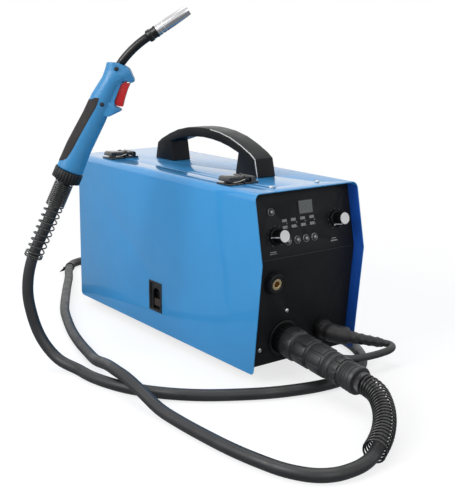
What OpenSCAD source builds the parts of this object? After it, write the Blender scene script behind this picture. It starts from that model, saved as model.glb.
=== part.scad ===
/* [Case] */
// Width over the two side panels
body_w = 196; // [190:1:230]
// Length of the side panels along their straight edges
body_l = 515; // [490:5:620]
// Height of the side panels
body_h = 262; // [256:1:320]
// Thickness of the case sheet
sheet = 1.5; // [1:0.1:2]
// How far the front edges of the side panels come forward at the crease
nose_d = 18; // [8:1:24]
// Height of the upper half of the control panel, above the crease
upper_h = 98; // [90:1:110]
// How far the front panel stands back from the edges of the side panels
panel_set = 20; // [14:1:28]
// Thickness of the front panel
panel_t = 2; // [1.5:0.1:3]
// How far the rear panel stands in from the rear edges
rear_set = 12; // [6:1:20]
// Outer radius of the folds along the top
fold_r = 10; // [6:1:14]
// Radius of the lower corners of the side panels
corner_r = 7; // [3:1:12]
// Width of the door's flange on the top
flange_w = 38; // [34:1:42]
// Gap round the door
door_gap = 1; // [0.8:0.1:1.5]
// Height of the rubber feet below the side panels
foot_h = 14; // [10:1:20]
// Diameter of a rubber foot
foot_d = 30; // [20:1:36]
// Distance of the feet from the middle, across
foot_x = 40; // [34:1:50]
// Distance of the feet from the middle, lengthwise
foot_y = 170; // [140:5:200]

/* [Carry handle] */
// Length of the carry handle over its feet
handle_l = 288; // [260:4:340]
// Height of the carry handle
handle_h = 64; // [56:1:75]
// Width of the carry handle
handle_w = 36; // [28:1:44]
// Thickness of the handle's grip
handle_t = 12; // [10:1:18]
// Length of each foot of the carry handle
handle_foot = 56; // [48:1:62]
// Offset of the handle from the middle of the case, across
handle_x = 8; // [0:1:12]
// Offset of the handle from the middle of the case, lengthwise
handle_y = -9; // [-15:1:15]

/* [Door and latches] */
// Radius of the door's hinge pins
pin_r = 1.5; // [1:0.1:2]
// Length of each door hinge
hinge_l = 60; // [40:2:80]
// Distance of each hinge from the middle, lengthwise
hinge_y = 150; // [110:5:180]
// Place of the front latch along the case
latch_front_y = -170; // [-190:2:-160]
// Place of the rear latch along the case
latch_rear_y = 170; // [160:2:190]
// Width of a latch along the case
latch_w = 32; // [24:1:40]
// Length of a latch lever
latch_l = 44; // [38:1:48]
// Width of the pull cup in the door
cup_w = 38; // [30:1:44]
// Height of the pull cup in the door
cup_h = 50; // [40:1:58]
// Depth of the pull cup
cup_d = 12; // [9:1:14]

/* [Control panel] */
// Diameter of a control knob
knob_d = 20; // [16:1:24]
// How far a control knob stands out of the panel
knob_h = 20; // [14:1:24]
// Place of the left knob, across
knob_left_x = -52; // [-60:1:-46]
// Place of the right knob, across
knob_right_x = 65; // [56:1:70]
// Depth of the left knob below the top
knob_left_drop = 66.5; // [60:0.5:70]
// Depth of the right knob below the top
knob_right_drop = 55; // [48:1:60]
// Diameter of a push button
button_d = 8; // [6:0.5:9]
// Travel of a push button
button_travel = 1; // [0.5:0.1:1.2]
// Width of the display window
display_w = 27; // [22:1:32]
// Height of the display window
display_h = 19; // [15:1:22]

/* [Sockets] */
// Outer diameter of a current socket
socket_d = 34; // [30:1:38]
// Bore of a current socket's contact
socket_bore = 9; // [7:0.5:10]
// Place of the left current socket, across
socket_left_x = -58; // [-62:1:-54]
// Depth of the left current socket below the crease
socket_left_drop = 35; // [30:1:42]
// Place of the right current socket, across
socket_right_x = 44; // [40:1:50]
// Height of the right current socket above the lower edge
socket_right_z = 41; // [38:1:48]
// Place of the torch socket, across
euro_x = -31; // [-36:1:-28]
// Height of the torch socket above the lower edge
euro_z = 40; // [38:1:44]
// Diameter of the torch socket's flange
euro_flange_d = 54; // [50:1:58]
// Diameter of the torch plug's housing
plug_d = 41; // [36:1:43]
// Length of the torch plug's housing
plug_l = 120; // [105:1:124]

/* [Wire feed] */
// Outer diameter of the wire spool
spool_d = 200; // [180:2:204]
// Width of the wire spool
spool_w = 55; // [45:1:58]
// Diameter of the spool hub
hub_d = 50; // [46:1:52]
// Distance of the spool's axis from the rear panel
spool_set = 125.5; // [119:0.5:132]
// Diameter of the drive roll
drive_d = 30; // [24:1:32]
// Diameter of the pressure roll
press_d = 25; // [20:1:27]
// Diameter of the feed motor
motor_d = 46; // [38:1:50]
// Length of the feed motor
motor_l = 66; // [55:1:70]

/* [Power electronics] */
// Side of the square fan
fan_size = 80; // [70:1:84]
// Depth of the fan
fan_t = 25; // [20:1:32]
// Number of fan blades
fan_blades = 7; // [5:1:9]
// Length of the heat sink
sink_l = 220; // [180:5:240]
// Number of heat sink fins
sink_fins = 9; // [6:1:11]

/* [Torch] */
// Outer diameter of the gas nozzle
nozzle_d = 16.5; // [15:0.5:20]
// Length of the gas nozzle
nozzle_l = 53; // [45:1:60]
// Diameter of the swan neck
neck_d = 12.5; // [10:0.5:14]
// Thickness of the torch handle
grip_t = 34; // [30:1:38]
// Diameter of the knurled collar below the torch handle
collar_d = 42; // [40:1:46]
// Travel of the trigger's lower end
trigger_travel = 4; // [2:0.5:5]

/* [Leads] */
// Diameter of the torch lead
lead_d = 16.5; // [14:0.5:18]
// Diameter of the polarity lead
pol_d = 11; // [9:0.5:12]
// Outer diameter of the torch's spring guard
guard_d = 27.5; // [26:0.5:30]
// Outer diameter of the spring guard at the torch plug
plug_guard_d = 30; // [28:0.5:32]
// Wire diameter of the spring guards
wire_d = 2.2; // [1.8:0.1:2.4]

/* [Hidden] */
$fn = 48;
eps = 0.01;

// running fits and clearances
fit = 0.05;
gap = 0.3;
seat = 0.2;

// case planes
side_x = body_w/2;
front_y = -body_l/2;
rear_y = body_l/2;
low_z = foot_h;
top_z = foot_h + body_h;
crease_z = top_z - upper_h;
nose_z = body_h - upper_h;
socket_left_z = nose_z - socket_left_drop;
inner_x = side_x - sheet;
seam_x = -side_x + flange_w;
seam_gap = 0.6;
tilt_low = atan(nose_d/nose_z);
tilt_up = atan(nose_d/upper_h);
panel_low_z = low_z + 3;
panel_top_z = top_z - sheet - 0.6;
rear_in_y = rear_y - rear_set;
tray_z = low_z + 6;
tray_x = -side_x + 11;
tray_lip = 26;
part_x = -8;

// front panel's outer surface at a height
function low_y(z) = front_y + panel_set - nose_d*(z - low_z)/nose_z;
function up_y(z) = front_y + panel_set - nose_d*(top_z - z)/upper_h;
function face_y(z) = z < crease_z ? low_y(z) : up_y(z);

// arc of points in a plane
function arc(c, r, a0, a1, n = 6) = [for (i = [0:n]) c + r*[cos(a0 + (a1 - a0)*i/n),
    sin(a0 + (a1 - a0)*i/n)]];
function unit(v) = v/norm(v);
function mirrored(pts) = [for (i = [len(pts) - 1:-1:0]) [-pts[i].x, pts[i].y]];

// Catmull-Rom curve through route points
function bend_pt(p0, p1, p2, p3, t) = 0.5*(2*p1 + (p2 - p0)*t + (2*p0 - 5*p1 + 4*p2 - p3)*t*t
    + (3*p1 - p0 - 3*p2 + p3)*t*t*t);
function route(pts, n) = let (m = len(pts) - 1) [for (i = [0:m - 1]) for (k = [0:n - 1])
    bend_pt(pts[max(i - 1, 0)], pts[i], pts[i + 1], pts[min(i + 2, m)], k/n), pts[m]];
function route_length(p) = len(p) < 2 ? 0 : [for (i = 0, s = 0; i < len(p); i = i + 1,
    s = i < len(p) ? s + norm(p[i] - p[i - 1]) : s) s][len(p) - 1];
function tangent(p, i) = unit(p[min(i + 1, len(p) - 1)] - p[max(i - 1, 0)]);
function square_to(n, t) = unit(n - (n*t)*t);
function carried(p, n0) = [for (i = 0, n = square_to(n0, tangent(p, 0)); i < len(p);
    i = i + 1, n = i < len(p) ? square_to(n, tangent(p, i)) : n) n];

// closed tube swept along points, with a radius for every ring
module swept(p, radii, sides, n0 = [1, 0, 0]) {
    f = carried(p, n0);
    m = len(p);
    rings = [for (i = [0:m - 1]) let (t = tangent(p, i), b = cross(t, f[i])) for (k = [0:sides - 1])
        p[i] + radii[i]*(cos(360*k/sides)*f[i] + sin(360*k/sides)*b)];
    skin = [for (i = [0:m - 2]) for (k = [0:sides - 1]) for (q = [0, 1])
        let (a = i*sides + k, b = i*sides + (k + 1)%sides)
        q == 0 ? [a, a + sides, b] : [b, a + sides, b + sides]];
    caps = [for (k = [1:sides - 2]) for (q = [0, 1])
        q == 0 ? [0, k, k + 1] : [(m - 1)*sides, (m - 1)*sides + k + 1, (m - 1)*sides + k]];
    polyhedron(points = rings, faces = concat(skin, caps));
}
module even_tube(p, r, sides, n0 = [1, 0, 0]) swept(p, [for (q = p) r], sides, n0);

// helix round an axis, with the turn count growing along it
function coil(axis, turns, r, n0) = let (f = carried(axis, n0)) [for (i = [0:len(axis) - 1])
    let (t = tangent(axis, i), b = cross(t, f[i]), a = 360*turns[i])
    axis[i] + r*(cos(a)*f[i] + sin(a)*b)];
// distance covered along a list of points, up to each of them
function travelled(p) = [for (i = 0, s = 0; i < len(p); i = i + 1,
    s = i < len(p) ? s + norm(p[i] - p[i - 1]) : s) s];
// least distance between the wire's surfaces, over points more than half a turn apart
function self_gap(p, per_turn, d) = min([for (i = [0:len(p) - 1])
    for (k = [i + ceil(per_turn*0.7):min(i + ceil(per_turn*1.4), len(p) - 1)])
    norm(p[i] - p[k])]) - d;

// frames on the two halves of the front panel: Z points outwards, Y up the panel
module on_low(x, z) translate([x, low_y(z), z]) rotate([90 + tilt_low, 0, 0]) children();
module on_up(x, z) translate([x, up_y(z), z]) rotate([90 - tilt_up, 0, 0]) children();
module through(r, depth = 20) translate([0, 0, -depth/2]) cylinder(h = depth, r = r);

// ---- case outlines ----
module side_outline() polygon(concat(
    arc([front_y + corner_r, low_z + corner_r], corner_r, 270, 180 + tilt_low),
    [[front_y - nose_d, crease_z], [front_y, top_z], [rear_y, top_z]],
    arc([rear_y - corner_r, low_z + corner_r], corner_r, 0, -90)));
module along_x(x0, x1) translate([x0, 0, 0]) rotate([90, 0, 90]) linear_extrude(x1 - x0) children();
module along_y(y0, y1) translate([0, y1, 0]) rotate([90, 0, 0]) linear_extrude(y1 - y0) children();

// outline of what fits between the side panels, seen from the front
module inner_outline(z0, z1, g) polygon(concat([[-inner_x + g, z0], [inner_x, z0]],
    arc([side_x - fold_r, top_z - fold_r], fold_r - sheet - g, 0, 90),
    arc([-side_x + fold_r, top_z - fold_r], fold_r - sheet - g, 90, 180)));

// ---- knob and button places ----
knob_z = [top_z - knob_left_drop, top_z - knob_right_drop];
button_row_z = top_z - 76;
button_x = [-31, -13.6, 2.8, 19.2];
inch_x = -57;
inch_z = top_z - 32;
display_x = 8.5;
display_z = top_z - 31;
led_x = [-30, -12, 5, 22.5];
led_z = [top_z - 57, top_z - 51];
led_r = 1.4;
shaft_r = 3;
board_set = 16;
board_t = 1.6;
flange_t = 1;
stem_in = 4;
button_out = 2.6;

// ---- base ----
module base_tray() color("dimgray") {
    by = low_y(tray_z) + panel_t/cos(tilt_low) + seat;
    ty = low_y(tray_z + tray_lip) + panel_t/cos(tilt_low) + seat;
    difference() {
        along_x(tray_x, inner_x) polygon([[by, tray_z], [rear_in_y - sheet - seat, tray_z],
            [rear_in_y - sheet - seat, tray_z + tray_lip],
            [rear_in_y - 2*sheet - seat, tray_z + tray_lip],
            [rear_in_y - 2*sheet - seat, tray_z + sheet], [by + sheet, tray_z + sheet],
            [ty + sheet, tray_z + tray_lip], [ty, tray_z + tray_lip]]);
        screw_holes();
        on_low(gland_x, low_z + gland_z) through(gland_r);
        on_low(euro_x, low_z + euro_z) through(euro_bore_r);
        on_low(socket_right_x, low_z + socket_right_z) through(socket_d/2 - 4.8, 50);
        foot_places() translate([0, 0, tray_z - 1]) cylinder(h = sheet + 2, r = foot_hole_r);
    }
    translate([inner_x - sheet, by + 4, tray_z]) cube([sheet, rear_in_y - by - 12, tray_lip]);
    fixed_hinges();
}
foot_hole_r = 2.2;
module foot_places() for (sx = [-1, 1]) for (sy = [-1, 1]) translate([sx*foot_x, sy*foot_y, 0])
    children();
module rubber_feet() color("black") foot_places() difference() {
    union() {
        cylinder(h = 3, r1 = foot_d/2 - 1.5, r2 = foot_d/2);
        translate([0, 0, 3]) cylinder(h = tray_z - 3, r = foot_d/2);
    }
    translate([0, 0, -1]) cylinder(h = tray_z + 2, r = foot_hole_r);
}

// ---- right side panel and top, one folded sheet ----
module cover_section() polygon(concat([[inner_x, low_z], [side_x, low_z]],
    arc([side_x - fold_r, top_z - fold_r], fold_r, 0, 90),
    [[seam_x, top_z], [seam_x, top_z - sheet]],
    arc([side_x - fold_r, top_z - fold_r], fold_r - sheet, 90, 0)));
vent_n = 14;
vent_pitch = 9;
vent_w = 3;
vent_l = 60;
vent_y = 60;
module right_cover() color("royalblue") difference() {
    intersection() {
        along_y(front_y - nose_d, rear_y) cover_section();
        along_x(seam_x - 1, side_x + 1) side_outline();
    }
    for (i = [0:vent_n - 1]) translate([inner_x - 1, vent_y + i*vent_pitch, low_z + 60])
        cube([sheet + 2, vent_w, vent_l]);
    for (sx = [-1, 1]) translate([top_screw_x*sx, top_screw_y, top_z - sheet]) through(2.2);
}
top_screw_x = 44;
top_screw_y = front_y + 30;

// ---- V-bent front panel ----
module front_panel() color("#18191b") difference() {
    intersection() {
        along_x(-inner_x, inner_x) polygon([
            [low_y(panel_low_z), panel_low_z], [low_y(crease_z), crease_z],
            [up_y(panel_top_z), panel_top_z],
            [up_y(panel_top_z) + panel_t/cos(tilt_up), panel_top_z],
            [low_y(crease_z) + panel_t, crease_z],
            [low_y(panel_low_z) + panel_t/cos(tilt_low), panel_low_z]]);
        along_y(front_y - nose_d, front_y + panel_set + 5) inner_outline(panel_low_z,
            panel_top_z, door_gap);
    }
    on_up(knob_left_x, knob_z[0]) through(shaft_r + 0.5);
    on_up(knob_right_x, knob_z[1]) through(shaft_r + 0.5);
    for (x = button_x) on_up(x, button_row_z) through(button_d/2 + gap);
    on_up(inch_x, inch_z) through(button_d/2 + gap);
    on_up(display_x, display_z) translate([-display_w/2, -display_h/2, -10])
        cube([display_w, display_h, 20]);
    for (x = led_x) for (z = led_z) on_up(x, z) through(led_r);
    on_low(socket_left_x, low_z + socket_left_z) through(socket_d/2 - 5);
    on_low(socket_right_x, low_z + socket_right_z) through(socket_d/2 - 5);
    on_low(euro_x, low_z + euro_z) through(euro_bore_r);
    on_low(gland_x, low_z + gland_z) through(gland_r - 2);
    screw_holes();
}

// ---- rear panel with its fan grille ----
fan_x = (part_x + inner_x)/2;
fan_z = low_z + 150;
grille_n = 10;
grille_w = 4.5;
switch_x = -58;
switch_z = top_z - 57;
switch_w = 22;
switch_h = 30;
power_x = -58;
power_z = low_z + 60;
gas_x = -58;
gas_z = low_z + 110;
module rear_panel() color("#18191b") difference() {
    along_y(rear_in_y - sheet, rear_in_y) inner_outline(panel_low_z, panel_top_z, door_gap);
    for (i = [0:grille_n - 1]) let (o = (i - (grille_n - 1)/2)*(fan_size - 8)/grille_n,
        h = sqrt(pow(fan_size/2 - 3, 2) - o*o))
        translate([fan_x + o - grille_w/2, rear_in_y - 5, fan_z - h]) cube([grille_w, 10, 2*h]);
    translate([switch_x - switch_w/2, rear_in_y - 5, switch_z - switch_h/2])
        cube([switch_w, 10, switch_h]);
    translate([power_x, rear_in_y - sheet/2, power_z]) rotate([90, 0, 0]) through(power_r);
    translate([gas_x, rear_in_y - sheet/2, gas_z]) rotate([90, 0, 0]) through(gas_r);
    screw_holes();
}

// ---- middle wall between wire feed and electronics ----
module partition() color("silver") {
    difference() {
        along_x(part_x, part_x + sheet) polygon([
            [low_y(tray_z) + 8, tray_z + sheet], [low_y(crease_z) + 32, crease_z],
            [up_y(top_z) + 28, top_z - sheet - 1], [rear_in_y - 4, top_z - sheet - 1],
            [rear_in_y - 4, tray_z + sheet]]);
        feed_frame() translate([part_x - euro_x + sheet/2, drive_off, 0]) rotate([0, 90, 0])
            through(motor_d/2 + 1);
    }
    translate([part_x, low_y(tray_z) + 30, tray_z + sheet])
        cube([12, rear_in_y - low_y(tray_z) - 50, sheet]);
}

// ---- carry handle ----
module handle_outline(rim) {
    half = handle_l/2 - rim;
    high = handle_h - rim;
    in_half = handle_l/2 - handle_foot;
    in_h = handle_h - handle_t;
    outer = [[half, 0], [half - 7, high - 36.5], [half - 19, high - 29], [half - 44, high - 18],
        [half - 70, high - 9], [half - 99, high - 3], [half - 124, high - 0.6]];
    inner = [[in_half, 0], [in_half + 7, in_h - 15.5], [in_half - 19, in_h - 8],
        [in_half - 41, in_h - 3.6], [in_half - 65, in_h - 0.9]];
    difference() {
        polygon(concat(outer, [[0, high]], mirrored(outer)));
        translate([0, -eps]) polygon(concat(inner, [[0, in_h]], mirrored(inner)));
    }
}
module carry_handle() color("#1b1c1e") translate([handle_x, handle_y, top_z]) {
    along_x(-handle_w/2 + 3, handle_w/2 - 3) handle_outline(0);
    along_x(-handle_w/2, handle_w/2) handle_outline(2.5);
}

// ---- screws ----
module panhead(r = 3.4) {
    translate([0, 0, -8]) cylinder(h = 8, r = screw_r);
    cylinder(h = 1.6, r = r);
    translate([0, 0, 1.6]) cylinder(h = 0.8, r1 = r, r2 = r - 1.2);
}
screw_r = 2;
screw_low = [[-28, 81], [-73, 28], [73, 28]];
screw_rear = [for (x = [-80, 80]) for (z = [low_z + 14, top_z - 22]) [x, z]];
module screw_holes() {
    for (s = screw_low) on_low(s.x, low_z + s.y) through(screw_r + 0.1);
    for (s = screw_rear) translate([s.x, rear_in_y, s.y]) rotate([-90, 0, 0])
        through(screw_r + 0.1);
}
module case_screws() color("silver") {
    for (sx = [-1, 1]) translate([top_screw_x*sx, top_screw_y, top_z]) panhead(3.2);
    for (s = screw_low) on_low(s.x, low_z + s.y) panhead();
    for (s = screw_rear) translate([s.x, rear_in_y, s.y]) rotate([-90, 0, 0]) panhead();
}

// ---- door ----
axis_x = -side_x + 6;
axis_z = low_z + 5;
knuckle_r = pin_r + 1.5;
module door_section() polygon(concat([[-side_x, low_z], [-inner_x, low_z]],
    arc([-side_x + fold_r, top_z - fold_r], fold_r - sheet, 180, 90),
    [[seam_x - seam_gap, top_z - sheet], [seam_x - seam_gap, top_z]],
    arc([-side_x + fold_r, top_z - fold_r], fold_r, 90, 180)));
cup_clear = 1;
cup_y = rear_in_y - spool_set - spool_d/2 - cup_clear - cup_w/2;
cup_z = low_z + 56;
cup_wall = 1.5;
module left_door() color("royalblue") difference() {
    intersection() {
        along_y(front_y - nose_d, rear_y) door_section();
        along_x(-side_x - 1, seam_x) side_outline();
    }
    translate([-side_x - 2, cup_y - cup_w/2 + 2, cup_z - cup_h/2 + 2])
        cube([6, cup_w - 4, cup_h - 4]);
}
module door_cup() color("#1b1c1e") difference() {
    union() {
        translate([-side_x - 1, cup_y - cup_w/2, cup_z - cup_h/2]) cube([1, cup_w, cup_h]);
        translate([-side_x - eps, cup_y - cup_w/2 + 2, cup_z - cup_h/2 + 2])
            cube([cup_d, cup_w - 4, cup_h - 4]);
    }
    translate([-side_x - 2, cup_y - cup_w/2 + 2 + cup_wall, cup_z - cup_h/2 + 2 + cup_wall])
        cube([cup_d + 2 - cup_wall, cup_w - 4 - 2*cup_wall, cup_h - 4 - 2*cup_wall]);
}
hinge_thirds = hinge_l/3;
module fixed_hinges() for (s = [-1, 1]) translate([axis_x, s*hinge_y - hinge_l/2, axis_z]) {
    rotate([-90, 0, 0]) cylinder(h = hinge_l, r = pin_r);
    for (y = [0, hinge_l - hinge_thirds]) translate([0, y, 0]) {
        rotate([-90, 0, 0]) cylinder(h = hinge_thirds, r = knuckle_r);
        translate([0, 0, -0.5]) cube([knuckle_r + 2, hinge_thirds, 1.5]);
    }
    translate([knuckle_r + gap, 0, -0.5]) cube([14, hinge_l, 1.5]);
}
module hinge_leaves() color("dimgray") for (s = [-1, 1])
    translate([axis_x, s*hinge_y - hinge_l/2 + hinge_thirds + gap, axis_z]) difference() {
        union() {
            rotate([-90, 0, 0]) cylinder(h = hinge_thirds - 2*gap, r = knuckle_r);
            translate([-axis_x - inner_x, 0, 0]) cube([2.5, hinge_thirds - 2*gap, 24]);
        }
        translate([0, -1, 0]) rotate([-90, 0, 0]) cylinder(h = hinge_thirds + 2, r = pin_r + fit);
    }

// ---- latches ----
keeper_t = 3;
lever_axis_x = seam_x + 17;
lever_axis_z = top_z + 7.5;
lever_r = 4;
lever_low = 2.2;
module latch_bases() color("#1b1c1e") for (y = [latch_front_y, latch_rear_y]) translate([0, y, 0]) {
    translate([seam_x + 1, -latch_w/2, top_z]) cube([25, latch_w, keeper_t]);
    for (s = [-1, 1]) translate([lever_axis_x, s*(latch_w/2 - 1.5), 0]) {
        translate([-4, -1.5, top_z]) cube([8, 3, lever_axis_z - top_z]);
        translate([0, 1.5, lever_axis_z]) rotate([90, 0, 0]) cylinder(h = 3, r = 4);
    }
    translate([lever_axis_x, latch_w/2 - 1, lever_axis_z]) rotate([90, 0, 0])
        cylinder(h = latch_w - 2, r = 1.5);
}
module latch_keepers() color("#1b1c1e") for (y = [latch_front_y, latch_rear_y])
    translate([-side_x + fold_r, y - latch_w/2, top_z])
        cube([flange_w - fold_r - seam_gap - 1, latch_w, keeper_t]);
module lever(y) color("#1b1c1e") translate([lever_axis_x, y + (latch_w - 7)/2, lever_axis_z])
    rotate([90, 0, 0]) difference() {
        union() {
            cylinder(h = latch_w - 7, r = lever_r);
            linear_extrude(latch_w - 7) polygon(concat(
                [[2, lever_r - 1.5], [2, -lever_low], [-latch_l + 1, -lever_low]],
                arc([-latch_l + 6, -1], 6, 185, 95, 6)));
        }
        translate([0, 0, -1]) cylinder(h = latch_w, r = pin_r + fit);
    }
module latch_lever_front() lever(latch_front_y);
module latch_lever_rear() lever(latch_rear_y);

// ---- control panel ----
module display_window() color("#5a6168") {
    on_up(display_x, display_z) {
        translate([-display_w/2 + seat, -display_h/2 + seat, -panel_t])
            cube([display_w - 2*seat, display_h - 2*seat, panel_t]);
        translate([-display_w/2 - 2, -display_h/2 - 2, -panel_t - 1.5 - seat/2])
            cube([display_w + 4, display_h + 4, 1.5 + seat/2]);
    }
    for (x = led_x) for (z = led_z) on_up(x, z) translate([0, 0, -panel_t - 1])
        cylinder(h = panel_t + 1.4, r = led_r - 0.1);
}
module knob(x, z) on_up(x, z) color("#1b1c1e") {
    translate([0, 0, 1]) cylinder(h = 2.5, r = knob_d/2 + 2.5);
    translate([0, 0, 3.5 - eps]) cylinder(h = knob_h - 4.5, r1 = knob_d/2, r2 = knob_d/2 - 1);
    translate([0, 0, knob_h - 1 - 2*eps]) cylinder(h = 1, r = knob_d/2 - 1.5);
    translate([0, 0, -board_set - 2]) cylinder(h = board_set + 4, r = shaft_r);
}
module knob_left() knob(knob_left_x, knob_z[0]);
module knob_right() knob(knob_right_x, knob_z[1]);
module button(x, z) on_up(x, z) color("#3c3f43") {
    translate([0, 0, -panel_t - seat - 0.5]) cylinder(h = panel_t + button_out + seat + 0.5,
        r = button_d/2);
    translate([0, 0, -panel_t - seat - flange_t]) cylinder(h = flange_t, r = button_d/2 + 1.5);
    translate([0, 0, -panel_t - flange_t - stem_in - button_travel]) cylinder(h = stem_in
        + button_travel, r = 1.6);
}
module button_inch() button(inch_x, inch_z);
module button_1() button(button_x[0], button_row_z);
module button_2() button(button_x[1], button_row_z);
module button_3() button(button_x[2], button_row_z);
module button_4() button(button_x[3], button_row_z);
board_top = inch_z + 10;
board_low = button_row_z - 11;
module control_board() color("#1f6b3a") {
    difference() {
        union() {
            on_up(0, (board_top + board_low)/2)
                translate([-78, -(board_top - board_low)/2, -board_set])
                cube([158, board_top - board_low, board_t]);
            for (k = [[knob_left_x, knob_z[0]], [knob_right_x, knob_z[1]]]) on_up(k[0], k[1])
                translate([0, 0, -board_set - 7]) cylinder(h = 11, r = 8);
            for (x = [-76, 77]) for (z = [board_low + 5, board_top - 4]) on_up(x, z)
                translate([0, 0, -board_set]) cylinder(h = board_set - panel_t - seat, r = 2.5);
            for (x = button_x) on_up(x, button_row_z) translate([-3, -3, -board_set])
                cube([6, 6, board_set - panel_t - flange_t - stem_in - 2*button_travel - gap]);
            on_up(inch_x, inch_z) translate([-3, -3, -board_set])
                cube([6, 6, board_set - panel_t - flange_t - stem_in - 2*button_travel - gap]);
        }
        for (k = [[knob_left_x, knob_z[0]], [knob_right_x, knob_z[1]]]) on_up(k[0], k[1])
            translate([0, 0, -board_set - 8]) cylinder(h = 20, r = shaft_r + fit);
    }
}

// ---- current sockets ----
socket_out = 10;
module socket_place(left) on_low(left ? socket_left_x : socket_right_x,
    low_z + (left ? socket_left_z : socket_right_z)) children();
module socket_bodies() color("#1b1c1e") {
    for (left = [true, false]) socket_place(left) difference() {
        union() {
            cylinder(h = socket_out, r1 = socket_d/2, r2 = socket_d/2 - 2);
            translate([0, 0, -panel_t - 14]) cylinder(h = panel_t + 14 + eps, r = socket_d/2 - 5.1);
        }
        through(contact_r, 60);
    }
    on_low(gland_x, low_z + gland_z) difference() {
        union() {
            cylinder(h = 9, r = gland_r);
            translate([0, 0, -panel_t - 8]) cylinder(h = panel_t + 8 + eps, r = gland_r - 2.1);
        }
        through(pol_d/2 - 2, 60);
    }
}
contact_r = socket_d/2 - 8.5;
gland_x = 8;
gland_z = 22;
gland_r = pol_d/2 + 4;
module socket_contacts() color("goldenrod") for (left = [true, false]) socket_place(left)
    translate([0, 0, -panel_t - 14]) difference() {
        cylinder(h = panel_t + 14 + socket_out - 1, r = contact_r);
        translate([0, 0, 4]) cylinder(h = 40, r = socket_bore/2);
    }
plug_out = 24;
elbow_r = 13.5;
elbow_l = 26;
elbow_way = unit([0.836, -0.45, -0.26]);
boot_r = 9.5;
module along(v) rotate([0, acos(v.z/norm(v)), atan2(v.y, v.x)]) children();
module polarity_plug() {
    socket_place(false) {
        color("goldenrod") translate([0, 0, -panel_t - 8]) cylinder(h = panel_t + 9 + socket_out,
            r = socket_bore/2 - 0.1);
        color("#1b1c1e") translate([0, 0, socket_out]) cylinder(h = plug_out + 11 - socket_out,
            r = elbow_r);
    }
    color("#1b1c1e") translate(plug_end) along(elbow_way) translate([0, 0, -3])
        cylinder(h = elbow_l + 3, r = elbow_r - 0.4);
}
// where a panel axis is, a distance out of the lower half
lead_dir = [0, -cos(tilt_low), -sin(tilt_low)];
function out_low(x, z, d) = [x, low_y(z), z] + d*lead_dir;
plug_end = out_low(socket_right_x, low_z + socket_right_z, plug_out);
boot_from = plug_end + elbow_l*elbow_way;
boot_route = concat([boot_from, boot_from + 8*elbow_way], [[81, -281, 40.5], [93.5, -286.5, 37],
    [108, -292, 32.8], [120, -297, 29.6]]);
boot_path = route(boot_route, 2);
boot_end = boot_route[len(boot_route) - 1];
gland_end = out_low(gland_x, low_z + gland_z, 9);
pol_route = concat([boot_end], [[125.5, -301.5, 28.6], [127, -308.5, 28], [123, -315.5, 27.5],
    [113, -320.5, 27], [98, -322, 26.4], [78, -321, 25.8], [58, -317, 25.2], [40, -309.5, 25],
    [25, -297, 27], [14, -283, 30.5], [9, -267, 33.5]],
    [gland_end + 6*lead_dir, gland_end]);
module polarity_boot() color("#222326") swept(boot_path, [for (i = [0:len(boot_path) - 1])
    boot_r - (boot_r - pol_d/2 - 1)*i/(len(boot_path) - 1)], 12, [0, 0, 1]);
module polarity_lead() color("#222326") even_tube(pol_route, pol_d/2, 10, [0, 0, 1]);

// ---- torch socket, plug and lead collar ----
euro_bore_r = euro_flange_d/2 - 6;
nut_l = 12;
nut_in = 3.5;
module on_euro(d) on_low(euro_x, low_z + euro_z) translate([0, 0, d]) children();
module euro_socket() color("#1b1c1e") difference() {
    union() {
        on_euro(0) cylinder(h = nut_in, r = euro_flange_d/2);
        on_euro(-30) cylinder(h = 30 + eps, r = euro_bore_r - 0.1);
        on_euro(0) cylinder(h = 10, r = 14);
    }
    on_euro(0) through(3.2, 80);
}
nut_d = 48;
module coupling_nut() color("#141416") on_euro(nut_in + gap) difference() {
    cylinder(h = nut_l, r = nut_d/2);
    through(14 + fit, 60);
    for (i = [0:23]) rotate(15*i) translate([nut_d/2 + 0.6, 0, -1]) cylinder(h = nut_l + 2, r = 1.6);
}
plug_from = nut_in + nut_l + 2*gap;
plug_to = plug_from + plug_l;
rib_n = 8;
module euro_plug() color("#2a2b2e") difference() {
    union() {
        on_euro(plug_from) cylinder(h = 24, r = plug_d/2 + 2.5);
        on_euro(plug_from + 24 - eps) cylinder(h = plug_l - 52, r1 = plug_d/2 + 1.5, r2 = plug_d/2);
        on_euro(plug_to - 28 - 2*eps) cylinder(h = 28, r1 = plug_d/2 + 0.5, r2 = plug_d/2 - 3);
    }
    for (i = [0:rib_n - 1]) on_euro(plug_from + 30) rotate(360*i/rib_n)
        translate([plug_d/2 + 2.4, -2, 0]) cube([6, 4, plug_l - 66]);
    for (d = [plug_from + 24, plug_from + 56, plug_to - 30]) on_euro(d) difference() {
        cylinder(h = 1.6, r = plug_d);
        translate([0, 0, -1]) cylinder(h = 4, r = plug_d/2 - 0.8);
    }
}
ring_l = 27;
knurl_l = 9;
module lead_collar() color("#55585c") {
    on_euro(plug_to) cylinder(h = ring_l, r1 = plug_d/2 - 3, r2 = plug_d/2 - 0.5);
    on_euro(plug_to + ring_l - eps) difference() {
        cylinder(h = knurl_l, r = plug_guard_d/2);
        for (i = [0:19]) rotate(18*i) translate([plug_guard_d/2 + 0.6, 0, -1])
            cylinder(h = knurl_l + 2, r = 1);
    }
}
collar_to = plug_to + ring_l + knurl_l - eps;
lead_end = out_low(euro_x, low_z + euro_z, collar_to);

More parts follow.
